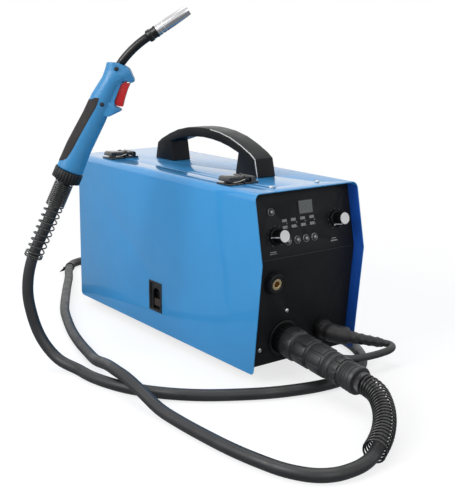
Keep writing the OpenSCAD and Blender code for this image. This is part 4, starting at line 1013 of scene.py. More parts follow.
# ---------------------------------------------------------------- studio
@dataclass
class Studio:
    """Camera, lamps and floor, in metres."""

    place: Triple = (-0.8789, -1.2466, 0.5002)
    azimuth: float = -36.61
    elevation: float = 9.83
    roll: float = 0.15
    lens: float = 67.13
    shift: float = -0.12
    fill: float = 0.34
    floor_glow: float = 0.74
    floor_in_mirror: float = 0.30
    middle: Triple = (-0.05, -0.05, 0.15)

    def camera(self) -> None:
        """Set the camera at the measured viewing place."""
        a, e, r = (math.radians(v) for v in (self.azimuth, self.elevation, self.roll))
        back = Vector((math.sin(a) * math.cos(e), -math.cos(a) * math.cos(e), math.sin(e)))
        right = (-back).cross(Vector((0, 0, 1))).normalized()
        up = right.cross(-back).normalized()
        across = math.cos(r) * right + math.sin(r) * up
        rise = -math.sin(r) * right + math.cos(r) * up
        turn = Matrix((across, rise, back)).transposed().to_4x4()
        data = bpy.data.cameras.new("studio_camera")
        data.lens = self.lens
        data.sensor_width = 36.0
        data.sensor_fit = "AUTO"
        data.shift_y = self.shift
        data.clip_start = 0.02
        data.clip_end = 50.0
        camera = Bench.linked("studio_camera", data)
        camera.matrix_world = Matrix.Translation(self.place) @ turn
        bpy.context.scene.camera = camera

    @staticmethod
    def lamp(title: str, place: Triple, target: Triple, size: Pair, power: float,
             mirrored: bool = True) -> None:
        """A soft box that points at a target.

        Args:
            title: name of the lamp.
            place: where it stands.
            target: what it points at.
            size: width and height.
            power: power in watts.
            mirrored: whether glossy surfaces show it.
        """
        data = bpy.data.lights.new(title, "AREA")
        data.shape = "RECTANGLE"
        data.size, data.size_y = size
        data.energy = power
        light = Bench.linked(title, data)
        light.rotation_euler = (Vector(target) - Vector(place)).to_track_quat("-Z", "Y").to_euler()
        light.location = place
        light.visible_glossy = mirrored

    @staticmethod
    def choose(tree: Tree, share: Socket, first: Socket, second: Socket) -> Socket:
        """Mix two shaders, all of the second one where the share is 1."""
        return add(tree, "MixShader", {"Fac": share, 1: first, 2: second}).outputs[0]

    def world(self) -> None:
        """A surround that looks white and gives an even, low fill light."""
        world = bpy.data.worlds.new("studio_world")
        world.use_nodes = True
        tree = world.node_tree
        plain = tree.nodes["Background"]
        feed(tree, plain, {"Color": (0.95, 0.97, 1.0, 1), "Strength": self.fill})
        shown = add(tree, "Background", {"Color": (1, 1, 1, 1), "Strength": 1.0})
        rays = add(tree, "LightPath", {}).outputs
        seen = add(tree, "Math", {0: rays["Is Camera Ray"], 1: rays["Is Glossy Ray"]}, "MAXIMUM")
        seen = add(tree, "Math", {0: seen.outputs[0], 1: rays["Is Transmission Ray"]}, "MAXIMUM")
        feed(tree, tree.nodes["World Output"], {"Surface": self.choose(
            tree, seen.outputs[0], plain.outputs[0], shown.outputs[0])})
        bpy.context.scene.world = world

    def floor(self) -> None:
        """A pale floor that keeps the object's soft shadow and turns white further out."""
        Bench.clear()
        bpy.ops.mesh.primitive_plane_add(size=14, location=(0, 0, -0.0004))
        floor = Bench.name("studio_floor")
        made = bpy.data.materials.new("studio_floor")
        made.use_nodes = True
        tree = made.node_tree
        plain = tree.nodes["Principled BSDF"]
        feed(tree, plain, {"Base Color": (0.80, 0.80, 0.80, 1), "Roughness": 0.9,
                           "Specular IOR Level": 0.1})
        near = add(tree, "BsdfDiffuse", {"Color": (0.34, 0.34, 0.345, 1)})
        glow = add(tree, "Emission", {"Strength": self.floor_glow})
        both = add(tree, "AddShader", {0: near.outputs[0], 1: glow.outputs[0]})
        white = add(tree, "Emission", {"Strength": 1.0})
        where = add(tree, "TexCoord", {}).outputs["Object"]
        reach = add(tree, "VectorMath", {0: where}, "LENGTH").outputs["Value"]
        fade = add(tree, "MapRange", {"Value": reach, "From Min": 0.50, "From Max": 0.85})
        shown = self.choose(tree, fade.outputs["Result"], both.outputs[0], white.outputs[0])
        dim = add(tree, "Emission", {"Color": (0.9, 0.95, 1.0, 1),
                                     "Strength": self.floor_in_mirror})
        rays = add(tree, "LightPath", {}).outputs
        mirror = self.choose(tree, rays["Is Glossy Ray"], plain.outputs[0], dim.outputs[0])
        feed(tree, tree.nodes["Material Output"],
             {"Surface": self.choose(tree, rays["Is Camera Ray"], mirror, shown)})
        floor.data.materials.append(made)

    def build(self) -> None:
        """Set up the camera, the lamps, the surround and the floor."""
        bpy.context.scene.view_settings.view_transform = "Standard"
        self.camera()
        self.world()
        self.floor()
        self.lamp("key_box", (-1.35, -0.12, 0.95), (-0.05, -0.1, 0.15), (0.8, 0.8), 11.5)
        self.lamp("top_box", (0.2, 0.2, 2.6), self.middle, (2.2, 2.0), 22)
        self.lamp("front_box", (-0.6, -2.7, 1.5), self.middle, (1.2, 1.2), 9)
        self.lamp("rear_box", (1.4, 2.4, 1.5), self.middle, (1.6, 1.4), 8, mirrored=False)


# ---------------------------------------------------------------- leads
@dataclass
class Leads:
    """The torch lead, the polarity lead and the two spring guards."""

    lead_d: float = 16.5
    polarity_d: float = 11.0
    guard_d: float = 27.5
    guard_l: float = 122.0
    guard_tight: int = 13
    guard_loose: int = 8
    plug_guard_d: float = 30.0
    plug_guard_turns: int = 23
    plug_wire_d: float = 2.6
    wire_d: float = 2.2
    elbow_out: float = 24.0
    arm_l: float = 26.0
    gland_out: float = 9.0
    boot_d: float = 20.6
    boot_taper: float = 3.6
    boot_rings: int = 7
    boot_rib: float = 0.75
    tie_at: Pair = (-15, 468)
    tie_turn: float = 100.0
    floor_z: float = 8.3
    collar_out: float = 172.09
    rise: Sequence[Triple] = ((-323, -6, 124), (-319, -8, 84), (-308, -16, 45), (-293, -38, 17))
    floor_one: Sequence[Pair] = (
        (-279, -75), (-277, -112), (-268, -150), (-253, -186), (-225, -226), (-190, -260),
        (-150, -287), (-109, -309), (-70, -323), (-36, -331), (-4, -333), (29, -327), (61, -311),
        (90, -285), (112, -251), (126, -210), (132, -165), (134, -110), (134, -30), (134, 60),
        (134, 150), (133, 240), (130, 320), (122, 388), (104, 444), (74, 484), (36, 500),
        (2, 488), (-26, 450), (-54, 396), (-94, 326), (-134, 254), (-163, 198), (-185, 144),
        (-206, 86), (-222, 30), (-233, -20))
    hump: Sequence[Triple] = (
        (-244, -64, 12), (-252, -112, 21), (-259.5, -152, 25.8), (-262, -186, 25.6),
        (-264, -228, 20), (-264, -272, 11))
    floor_two: Sequence[Pair] = (
        (-262, -318), (-260, -368), (-256, -416), (-249, -458), (-239, -495), (-222, -523),
        (-200, -537))
    lead_out: Sequence[Triple] = (
        (-175, -541, 9), (-155, -539.5, 10.2), (-136, -533.5, 12.2), (-116, -522.5, 16))
    guarded: Sequence[Triple] = (
        (-31.9, -424, 34.2), (-36, -438, 32.6), (-45, -454, 30.3), (-60, -474, 27.3),
        (-78, -493, 24), (-97, -509, 20.5))
    guard_end: Sequence[Triple] = ((-116, -522, 18), (-136, -533, 15.1))
    boot_route: Sequence[Triple] = (
        (81, -281, 40.5), (93.5, -286.5, 37), (108, -292, 32.8), (120, -297, 29.6))
    polarity: Sequence[Triple] = (
        (120, -297, 29.6), (125.5, -301.5, 28.6), (127, -308.5, 28), (123, -315.5, 27.5),
        (113, -320.5, 27), (98, -322, 26.4), (78, -321, 25.8), (58, -317, 25.2),
        (40, -309.5, 25), (25, -297, 27), (14, -283, 30.5), (9, -267, 33.5))

    def __post_init__(self) -> None:
        """Work out the ends that the torch and the panel give, and the torch lead's route."""
        lean = math.radians(66)
        axis = Vector((math.cos(lean), math.sin(lean)))
        low = Vector((4.5, 11.5)) - 18 * axis
        self.gun_out = GUN_AT + low.x * GUN_U + Vector((0, 0, low.y))
        self.gun_dir = -(axis.x * GUN_U + Vector((0, 0, axis.y)))
        self.panel_dir = Vector((0, -math.cos(TILT_LOW), -math.sin(TILT_LOW)))
        self.lead_end = lower_point(*TORCH_SOCKET) + self.collar_out * self.panel_dir
        self.elbow = lower_point(*LOW_SOCKET) + self.elbow_out * self.panel_dir
        self.arm_dir = Vector((0.836, -0.45, -0.26)).normalized()
        route = [self.gun_out + 62 * i * self.gun_dir for i in range(3)]
        route += [*self.rise, *((x, y, self.floor_z) for x, y in self.floor_one), *self.hump,
                  *((x, y, self.floor_z) for x, y in self.floor_two), *self.lead_out,
                  *reversed(self.guarded), self.lead_end]
        self.run = curved(metres(route), 5)

    def torch_lead(self) -> None:
        """The thick torch lead, from the torch over the floor to the machine."""
        run = self.run
        lead = tube("torch_lead_hose", run, self.lead_d, 8)
        Bench.ship(lead, LEAD_RUBBER, replaced=("torch_lead",))

    def boot(self) -> None:
        """The ribbed boot behind the angled plug."""
        start = self.elbow + self.arm_l * self.arm_dir
        axis = curved(metres([start - 3 * self.arm_dir, start, start + 8 * self.arm_dir,
                              *self.boot_route]), 16)
        shares = []
        for i in range(len(axis)):
            t = i / (len(axis) - 1)
            plain = self.boot_d / 2 - self.boot_taper * t ** 0.8
            rib = self.boot_rib * max(0.0, math.sin(2 * math.pi * self.boot_rings * t)) ** 0.6
            shares.append((plain + (rib if 0.12 < t < 0.94 else 0.0)) / (self.boot_d / 2))
        boot = tube("polarity_boot_ribbed", axis, self.boot_d, 8, shares)
        Bench.ship(boot, LEAD_RUBBER, replaced=("polarity_boot",))

    def angled_plug(self) -> None:
        """The angled plug in the lower current socket, turned from rings and an elbow."""
        place, corner = on_lower(*LOW_SOCKET), shift(*self.elbow)
        straight = Bench.turned("angled_plug", [
            (0, 10), (13.2, 10), (13.9, 10.8), (13.9, 13.4), (13.3, 14.2), (13.5, 24), (0, 24)],
            56, place)
        pin = Bench.cylinder("plug_pin", 4.4, 20, 32, (0, 0, -10), place)
        Bench.clear()
        bpy.ops.mesh.primitive_uv_sphere_add(segments=48, ring_count=24, radius=13.9 * MM)
        knee = Bench.settle(Bench.name("plug_knee"), corner)
        arm = Bench.turned("plug_arm", [
            (0, 0), (13.5, 0), (13.5, 7), (14.0, 8), (14.0, 22), (13.2, 25), (11, 26), (0, 26)],
            56, corner @ along(self.arm_dir))
        plug = Bench.joined("angled_plug", [straight, pin, knee, arm])
        Bench.ship(plug, PLUG_BLACK, replaced=("polarity_plug",), smooth=40)

    def polarity_lead(self) -> None:
        """The short lead from the boot to its gland."""
        gland_end = lower_point(*LEAD_GLAND) + self.gland_out * self.panel_dir
        run = curved(metres([*self.polarity, gland_end + 6 * self.panel_dir, gland_end]), 6)
        lead = tube("polarity_lead_cable", run, self.polarity_d, 6)
        Bench.ship(lead, LEAD_RUBBER, replaced=("polarity_lead",))

    def cable_tie(self) -> None:
        """The dark tie round the torch lead behind the case, with its cut tail."""
        run, near = self.run, Vector((*self.tie_at, self.floor_z)) * MM
        spot = min(range(1, len(run) - 1), key=lambda i: (run[i] - near).length)
        way = (run[spot + 1] - run[spot - 1]).normalized()
        band = Bench.turned("cable_tie_band", [
            (8.2, -2.3), (9.4, -2.3), (9.6, -2.0), (9.6, 2.0), (9.4, 2.3), (8.2, 2.3)], 40)
        lock = Bench.block("cable_tie_lock", (5, 6.4, 5.6), (0, 10.6, 0), 0.8)
        tail = Bench.slab("cable_tie_tail", [(-2.6, 0), (2.6, 0), (2.2, 13), (0, 26), (-2.2, 13)],
                          1.6, shift(0, 9, 2.2) @ spin(68, "X"))
        place = Matrix.Translation(run[spot]) @ along(way) @ spin(self.tie_turn)
        Bench.ship(Bench.joined("cable_tie", [band, lock, tail]), KNOB_BLACK, at=place, smooth=40)

    def guard(self, title: str, wire: Sequence[Vector], lead_in: Vector, diameter: float,
              node: str) -> None:
        """A spring guard from its wire's centreline.

        Args:
            title: name of the piece.
            wire: the centreline.
            lead_in: how far its cut end stands off the first point.
            diameter: diameter of the wire.
            node: the node that it stands for.
        """
        run = tube(title, metres([wire[0] - lead_in, *wire]), diameter, 3)
        Bench.ship(run, SPRING_WIRE, replaced=(node,))

    def gun_guard(self) -> None:
        """The torch's guard: close turns by the collar, then open ones."""
        per_turn, thick = 24, self.wire_d
        tight, loose, pitch = self.guard_tight, self.guard_loose, thick + 0.6
        open_pitch = (self.guard_l - thick - (tight + 2) * pitch) / loose
        turns = [i / per_turn for i in range((tight + loose + 2) * per_turn + 1)]
        axis = []
        for t in turns:
            rise = min(t, tight) * pitch + max(0.0, min(t - tight, loose)) * open_pitch
            rise += max(0.0, t - tight - loose) * pitch
            axis.append(self.gun_out + (thick + rise) * self.gun_dir)
        wire = helix(axis, turns, (self.guard_d - thick) / 2, (0, 0, 1))
        self.guard("gun_guard_wire", wire, thick * self.gun_dir, thick, "gun_guard")

    def machine_guard(self) -> None:
        """The guard at the machine's end, one long close spring."""
        route = [self.lead_end, *(Vector(p) for p in (*self.guarded, *self.guard_end))]
        axis, lead_in = curved(route, 100), self.plug_wire_d * self.panel_dir
        last = len(axis) - 1
        axis = [p + lead_in * (1 - i / last) for i, p in enumerate(axis)]
        gone = [0.0]
        for a, b in zip(axis, axis[1:]):
            gone.append(gone[-1] + (b - a).length)
        turns = [self.plug_guard_turns * s / gone[-1] for s in gone]
        wire = helix(axis, turns, (self.plug_guard_d - self.plug_wire_d) / 2, (1, 0, 0))
        self.guard("machine_guard_wire", wire, lead_in, self.plug_wire_d, "connector_guard")

    def build(self) -> None:
        """Make the guards and the leads."""
        self.gun_guard()
        self.machine_guard()
        self.torch_lead()
        self.boot()
        self.angled_plug()
        self.polarity_lead()
        self.cable_tie()


# ---------------------------------------------------------------- case
@dataclass
class CaseShell:
    """Folded case, handle, door, latches, feet and hinges."""

    handle_l: float = 288.0
    handle_h: float = 65.0
    handle_w: float = 36.0
    handle_t: float = 15.5
    handle_foot: float = 56.0
    handle_x: float = 8.0
    handle_y: float = -9.0
    edge_soft: float = 1.15
    latch_x: float = -57.0
    latch_y: Pair = (-170.0, 170.0)
    latch_up: float = 7.6

    def sheets(self) -> None:
        """The painted sheets with small radii along their edges."""
        cover = Bench.edged("right_cover", BLUE_PAINT, 0.45, 2)
        Bench.wear(cover, BLUE_PAINT, BLUE_PAINTED_SHADE)
        # the inner faces of the right cover's overhang, beside the panel, take the darker blue as
        # painted shade
        for face in cover.data.polygons:
            if face.normal.x < -0.9 and face.center.x > (BODY_W / 2 - 3) * MM:
                face.material_index = 1
        Bench.edged("left_door", BLUE_PAINT, 0.45, 2, "door")
        Bench.edged("front_panel", BLACK_PANEL, 0.35, 2)
        Bench.edged("rear_panel", BLACK_PANEL, 0.3, 1)
        Bench.edged("base_tray", SHEET_STEEL, 0.3, 1)
        Bench.edged("rubber_feet", FOOT_RUBBER, 0.8, 3)

    def handle(self) -> None:
        """The moulded carry handle: a side outline raised across, its long edges chamfered, with a
        painted highlight in pale grey on the chamfer of its front half.
        """
        half, high = self.handle_l / 2, self.handle_h
        inner, in_h = half - self.handle_foot, high - self.handle_t
        outer_arm = [(half - a, high - b) for a, b in (
            (0, high), (7, 36.5), (19, 29), (44, 18), (70, 9), (99, 3), (124, 0.6))]
        inner_arm = [(inner - a, in_h - b) for a, b in (
            (0, in_h), (-7, 15.5), (19, 8), (41, 3.6), (65, 0.9))]
        outline = outer_arm + [(0, high)] + [(-y, z) for y, z in reversed(outer_arm)]
        outline += [(-y, z) for y, z in inner_arm] + [(0, in_h)] + inner_arm[::-1]
        grip = Bench.slab("carry_handle_grip", outline, self.handle_w)
        Bench.soften(grip, self.edge_soft, 1, 60)
        # chamfer faces on the near side of the front half get the pale grey: a painted highlight
        highlight_faces = [f.index for f in grip.data.polygons
                    if -0.95 < f.normal.z < -0.3 and f.center.x < -12 * MM
                    and f.normal.x * f.center.x + f.normal.y * f.center.y > 0]
        Bench.wear(grip, HANDLE_BLACK, HANDLE_PAINTED_HIGHLIGHT)
        for index in highlight_faces:
            grip.data.polygons[index].material_index = 1
        Bench.soften(grip, 0.25, 2, 12)
        place = shift(self.handle_x - self.handle_w / 2, self.handle_y, TOP_Z)
        Bench.smooth(Bench.settle(grip, place @ UPRIGHT), 30)
        Bench.hand_over(grip, "case", HANDLE_BLACK.slot, ("carry_handle",))

    def latches(self) -> None:
        """Latch bases, keepers and levers, with their pins and hooks."""
        Bench.edged("latch_bases", LATCH_BLACK, 0.9, 3)
        Bench.edged("latch_keepers", LATCH_BLACK, 0.9, 3, "door")
        for end, y in zip(("front", "rear"), self.latch_y):
            body = "lever_" + end
            Bench.edged("latch_lever_" + end, LATCH_BLACK, 1.1, 4, body)
            barrel = Bench.turned("lever_barrel_" + end, [
                (0, -12.5), (2.6, -12.5), (2.6, -11.8), (4.4, -11.8), (5.3, -11), (5.4, -7),
                (5.0, -6.4), (5.0, 6.4), (5.4, 7), (5.3, 11), (4.4, 11.8), (2.6, 11.8),
                (2.6, 12.5), (0, 12.5)], 40)
            lay = shift(self.latch_x, y, TOP_Z + self.latch_up) @ spin(90, "X")
            Bench.ship(barrel, LATCH_BLACK, body, at=lay, smooth=35)
            ridges = [Bench.block("ridge", (1.2, 18, 1.0),
                                  (-77 + 3.6 * i, y, TOP_Z + 9.0 + 0.2 * i), 0.4)
                      for i in range(3)]
            Bench.ship(Bench.joined("lever_ridges_" + end, ridges), LATCH_BLACK, body)
            self.hook(end, y)

    @staticmethod
    def hook(end: str, y: float) -> None:
        """The bright wire bow that the lever pulls, bent round the keeper.

        Args:
            end: which latch, for the name.
            y: place of the latch along the case.
        """
        side = [(-57, 13.4, 7.4), (-66, 13.4, 5.0), (-74, 13.2, 4.3), (-77, 10.5, 4.2)]
        half = [(x, -reach, up) for x, reach, up in side]
        bow = [(x, y + reach, TOP_Z + up) for x, reach, up in half + [(-77.5, 0, 4.2)] + side[::-1]]
        wire = tube("latch_bow_" + end, curved(metres(bow), 6), 1.9, 4)
        Bench.ship(wire, HOOK_STEEL, "lever_" + end)

    def door_cup(self) -> None:
        """The pull cup: its frame, an arched screen and the pale lip below it."""
        Bench.edged("door_cup", CUP_BLACK, 0.6, 3, "door")
        Bench.edged("hinge_leaves", SHEET_STEEL, 0.3, 2, "door")
        arch = [(-15.5, -21.5), (-9.5, -21.5), (-9.5, 7.0)]
        arch += [(9.5 * math.cos(a), 7.0 + 6.5 * math.sin(a))
                 for a in (math.pi * (1 - i / 10) for i in range(1, 10))]
        arch += [(9.5, 7.0), (9.5, -21.5), (15.5, -21.5), (15.5, 21.5), (-15.5, 21.5)]
        screen = Bench.soften(Bench.slab("cup_screen", arch, 1.0), 0.3, 2)
        Bench.ship(screen, CUP_BLACK, "door",
                   at=shift(-BODY_W / 2 + 1.6, 0, FOOT_H + 56) @ UPRIGHT)
        lip = Bench.block("cup_lip", (2.2, 18.6, 12.5), (-BODY_W / 2 + 4.4, 0, FOOT_H + 45), 0.8, 3)
        Bench.ship(lip, LIP_BROWN, "door")

    def build(self) -> None:
        """Dress the whole case."""
        self.sheets()
        self.handle()
        self.latches()
        self.door_cup()


# ---------------------------------------------------------------- control panel
class Side(Enum):
    """Which way a knob's pointer line faces, as an angle on the panel."""

    LEFT = 184.0
    LOW_LEFT = 232.0


@dataclass(frozen=True)
class Knob:
    """One control knob of the panel.

    Attributes:
        node: CAD node and body name.
        x: place across.
        drop: distance below the top.
        side: where its pointer line faces.
    """

    node: str
    x: float
    drop: float
    side: Side

    diameter: float = 20.0
    height: float = 20.0
    flutes: int = 26
    cap_r: float = 8.7

    def place(self) -> Matrix:
        """Frame of the knob on the panel."""
        return on_upper(self.x, self.drop)

    def build(self) -> None:
        """Skirt, fluted grip, spindle, silver cap and white pointer line."""
        node, high, cap_r = self.node, self.height, self.cap_r
        grip_h = high - 4.6
        grip = Bench.slab(node + "_grip", fluted(self.diameter / 2, 0.28, self.flutes, 8),
                          grip_h, shift(z=3.6))
        skirt = Bench.turned(node + "_skirt", [
            (0, 1), (12.1, 1), (12.5, 1.4), (12.5, 2.6), (12.0, 3.4), (10.6, 4.0), (0, 4.0)])
        crown = Bench.turned(node + "_crown", [(r, high - low) for r, low in (
            (0, 1.3), (9.6, 1.3), (9.6, 0.9), (9.1, 0.3), (8.8, 0.1), (8.8, 0.6), (0, 0.6))])
        shaft = Bench.cylinder(node + "_spindle", 3.0, 21, 32, (0, 0, -18))
        body = Bench.joined(node + "_body", [grip, skirt, crown, shaft])
        Bench.ship(body, KNOB_BLACK, node, (node,), self.place(), 40)
        cap = Bench.turned(node + "_cap", [(r, high - low) for r, low in (
            (0, 0.7), (cap_r, 0.7), (cap_r, 0.1), (cap_r - 0.35, 0), (cap_r - 1.2, 0),
            (cap_r - 1.6, 0.25), (0, 0.32))])
        Bench.ship(cap, SILVER_CAP, node, at=self.place(), smooth=30)
        line = Bench.block(node + "_line", (0.9, 1.5, grip_h + 0.4),
                           (self.diameter / 2 - 0.05, 0, 3.8 + grip_h / 2))
        foot = Bench.block(node + "_foot_line", (2.6, 1.5, 0.7), (11.2, 0, 3.75))
        line = Bench.soften(Bench.joined(node + "_line", [line, foot]), 0.2, 2)
        Bench.ship(line, WHITE_PRINT, node, at=self.place() @ spin(self.side.value))


@dataclass
class ControlPanel:
    """Knobs, buttons, display, printed marks, sockets and screws of the front."""

    knobs: tuple[Knob, ...] = (Knob("knob_left", -52.0, 66.5, Side.LEFT),
                               Knob("knob_right", 65.0, 55.0, Side.LOW_LEFT))
    buttons: tuple[tuple[str, str, float, float], ...] = (
        ("button_inch", "key_inch", -57.0, 32.0), ("button_1", "key_1", -31.0, 76.0),
        ("button_2", "key_2", -13.6, 76.0), ("button_3", "key_3", 2.8, 76.0),
        ("button_4", "key_4", 19.2, 76.0))
    display: tuple[float, float, float, float] = (8.5, 31.0, 27.0, 19.0)
    digits_x: Triple = (-7.4, 0.0, 7.4)
    tick_r: float = 15.2
    bars_x: tuple[float, ...] = (-34.0, -17.4, 0.4, 17.8)
    bars_drop: Pair = (46.6, 56.0)
    strips: tuple[tuple[float, float, float, float], ...] = (
        (-60.0, 88.0, 11, 1.4), (-60.0, 90.6, 13, 0.9), (57.0, 82.6, 9, 1.2),
        (57.0, 86.0, 13, 1.8))

    def keys(self) -> None:
        """A pressed ring round every button, and its cap with a dished top."""
        rings = [Bench.turned(node + "_ring", [
            (4.75, 0.0), (5.75, 0.0), (5.75, 0.5), (5.55, 1.0), (5.25, 1.15), (4.95, 1.0),
            (4.75, 0.6), (4.75, 0.0)], 40, on_upper(x, drop)) for node, _, x, drop in self.buttons]
        Bench.ship(Bench.joined("button_rings", rings), RING_GREY, smooth=50)
        for node, body, x, drop in self.buttons:
            cap = Bench.turned(node + "_cap", [
                (0, -8.0), (1.6, -8.0), (1.6, -3.7), (5.5, -3.7), (5.5, -2.7), (4.0, -2.7),
                (4.0, 2.2), (3.75, 2.5), (3.2, 2.6), (2.2, 2.2), (0, 1.95)], 40)
            Bench.ship(cap, CAP_GREY, body, (node,), on_upper(x, drop), 40)
            spot = Bench.turned(node + "_spot", [
                (0, 1.9), (1.9, 2.15), (2.1, 2.35), (1.9, 2.5), (0, 2.45)], 28)
            Bench.ship(spot, RING_GREY, body, at=on_upper(x, drop), smooth=40)

    def marks(self) -> None:
        """Printed bars beside the lamps, dial ticks, plain strips and a pale bead on the panel's
        bend as a painted highlight.
        """
        bars = [Bench.block("bar", (8.8, 4.2, 0.3), (0, 0, 0.1), 0.5, 2, on_upper(x, drop))
                for drop in self.bars_drop for x in self.bars_x]
        bars += [Bench.block("strip", (width, height, 0.16), (0, 0, 0.04),
                             frame=on_upper(x, drop)) for x, drop, width, height in self.strips]
        Bench.ship(Bench.joined("printed_bars", bars), PRINT_GREY)
        fold = FOOT_H + NOSE_Z
        # a pale, shiny bead along the fold: a painted highlight line on the bend
        bead = Bench.cylinder("panel_bend_bead", 0.55, BODY_W - 6, 10, (0, 0, 3 - BODY_W / 2))
        Bench.ship(bead, BEND_HIGHLIGHT, at=shift(0, lower_y(fold) + 0.1, fold) @ ACROSS, smooth=60)
        ticks = [Bench.block("tick", (1.7 if i % 5 == 0 else 1.1, 0.45, 0.16),
                             (self.tick_r, 0, 0.04), frame=knob.place() @ spin(240 - 30 * i))
                 for knob in self.knobs for i in range(11)]
        Bench.ship(Bench.joined("dial_ticks", ticks), PRINT_GREY)

    def screen(self) -> None:
        """Window with its thin frame and three unlit digits behind it."""
        x, drop, width, height = self.display
        place = on_upper(x, drop)
        Bench.wear(bpy.data.objects["display_window"], WINDOW)
        bezel = Bench.plate_frame("display_bezel", width + 3, height + 3, 1.7, 0.8)
        Bench.ship(Bench.soften(bezel, 0.25, 2), BLACK_PLASTIC, at=place)
        flat = [(0, up, 2.0, 0) for up in (5.4, 0, -5.4)]
        upright = [(side, up, 2.2, 90) for side in (2.5, -2.5) for up in (2.7, -2.7)]
        segments = []
        for digit in self.digits_x:
            for sx, sy, half, turn in flat + upright:
                outline = [(-half, 0), (0.5 - half, -0.5), (half - 0.5, -0.5), (half, 0),
                           (half - 0.5, 0.5), (0.5 - half, 0.5)]
                segments.append(Bench.slab("segment", outline, 0.08,
                                           place @ shift(digit + sx, sy, -0.02) @ spin(turn)))
        Bench.ship(Bench.joined("display_segments", segments), SEGMENT)

    def sockets(self) -> None:
        """Current sockets: notched dark rings round brass sleeves, and the lead gland."""
        Bench.edged("socket_bodies", BLACK_PLASTIC, 0.8, 3)
        Bench.edged("socket_contacts", BRASS, 0.5, 3)
        rings = [Bench.turned("socket_ring", [
            (12.6, 9.4), (14.2, 9.4), (14.6, 9.9), (14.2, 10.5), (12.9, 10.7), (12.2, 10.2),
            (12.6, 9.4)], 56, on_lower(x, z)) for x, z in (HIGH_SOCKET, LOW_SOCKET)]
        Bench.ship(Bench.joined("socket_rings", rings), KNOB_BLACK, smooth=50)

    def screws(self) -> None:
        """Case screws with a cross recess, one modelled and the others copied."""
        head = Bench.turned("screw_head", [
            (0, -8), (1.7, -8), (2.0, -7.4), (2.0, 0), (3.4, 0), (3.5, 0.5), (3.3, 1.3),
            (2.5, 2.05), (1.3, 2.4), (0, 2.45)], 36)
        for angle in (0, 90):
            Bench.cut(head, Bench.block("slot", (3.6, 0.75, 1.8), (0, 0, 2.3),
                                        frame=spin(angle)))
        Bench.smooth(head, 40)
        places = [shift(x, FRONT_Y + 30, TOP_Z) for x in (-44, 44)]
        places += [on_lower(x, FOOT_H + z) for x, z in ((-28, 81), (-73, 28), (73, 28))]
        places += [at_rear(x, z) for x in (-80, 80) for z in (FOOT_H + 14, TOP_Z - 22)]
        copies = Bench.spread(head, [place @ Matrix.Rotation(0.5 + 0.7 * i, 4, "Z")
                                     for i, place in enumerate(places)])
        Bench.ship(Bench.joined("cross_screws", copies), ZINC, replaced=("case_screws",))

    def build(self) -> None:
        """Dress the control panel."""
        for knob in self.knobs:
            knob.build()
        self.keys()
        self.marks()
        self.screen()
        self.sockets()
        self.screws()


# ---------------------------------------------------------------- torch plug
@dataclass
class TorchPlug:
    """Torch socket, knurled nut, segmented plug housing and the lead's collar."""

    start: float = 16.1
    length: float = 120.0
    grips: int = 8
    shell: tuple[Pair, ...] = (
        (0, 0), (21.6, 0), (22.8, 1.0), (23.0, 3), (23.0, 20), (22.4, 22.6), (21.2, 23.6),
        (20.0, 23.9), (19.6, 24.4), (19.6, 25.2), (20.4, 25.8), (20.7, 27), (20.4, 54.4),
        (19.6, 55.4), (18.9, 55.9), (18.9, 57.1), (19.8, 57.8), (20.2, 59), (20.0, 87.2),
        (19.4, 88.6), (18.4, 89.2), (18.4, 90.6), (19.8, 91.2), (20.6, 92.4), (20.6, 100),
        (20.0, 101.4), (18.8, 102.2), (18.6, 110), (17.9, 118.4), (16.8, 120), (0, 120))
    grip_rows: tuple[tuple[str, int, float, float, float, float, float, float], ...] = (
        ("plug_grip", 8, 0.5, 28.4, 18.6, 22.1, 0.8, 24.6),
        ("plug_grip", 8, 0.5, 60.4, 18.6, 21.7, 0.8, 25.2),
        ("plug_foot_grip", 8, 0.5, 2.6, 19.5, 23.9, 0.62, 16.5),
        ("plug_end_flat", 10, 0.0, 103.4, 16.0, 20.4, 0.66, 13.6))

    def at(self, out: float) -> Matrix:
        """Frame on the plug's axis, a distance out of the panel."""
        return on_lower(*TORCH_SOCKET, out)

    def housing(self) -> None:
        """The plug's shell with ring grooves and raised grips."""
        pieces = [Bench.turned("plug_shell", self.shell, 72, self.at(self.start))]
        for title, count, first, start, inner, outer, share, long in self.grip_rows:
            outline = sector(outer, inner, math.pi / self.grips * share, 6)
            for turn in around(count, first):
                grip = Bench.soften(Bench.slab(title, outline, long), 1.1, 3, 40)
                pieces.append(Bench.settle(grip, self.at(self.start + start) @ turn))
        Bench.ship(Bench.joined("plug_housing", pieces), GREY_PLASTIC, replaced=("euro_plug",),
                   smooth=38)

    def collar(self) -> None:
        """The tapered sleeve and the bright knurled ring before the spring."""
        end = self.at(self.start + self.length)
        pieces = [Bench.turned("collar_sleeve", [
            (0, 0), (17.4, 0), (18.2, 1.2), (19.4, 12), (20.0, 24.6), (19.3, 26.2), (17.0, 27),
            (0, 27)], 72, end)]
        for i in range(3):
            low, wide = 6.5 * i, 0.25 * i
            pieces.append(Bench.turned("collar_band", [
                (17.6, low + 5), (19.7 + wide, low + 5.5), (19.9 + wide, low + 7),
                (17.6, low + 8.6)], 72, end))
        Bench.ship(Bench.joined("collar_sleeve", pieces), GREY_PLASTIC, smooth=40)
        knurl = Bench.slab("knurled_ring", fluted(15.0, 0.5, 40, 4), 9.0)
        Bench.ship(knurl, KNURL_STEEL, replaced=("lead_collar",), at=end @ shift(z=27), smooth=25)

    def build(self) -> None:
        """Build the whole plug."""
        Bench.edged("euro_socket", BLACK_PLASTIC, 1.0, 3)
        Bench.edged("coupling_nut", KNOB_BLACK, 0.5, 2, "nut")
        self.housing()
        self.collar()


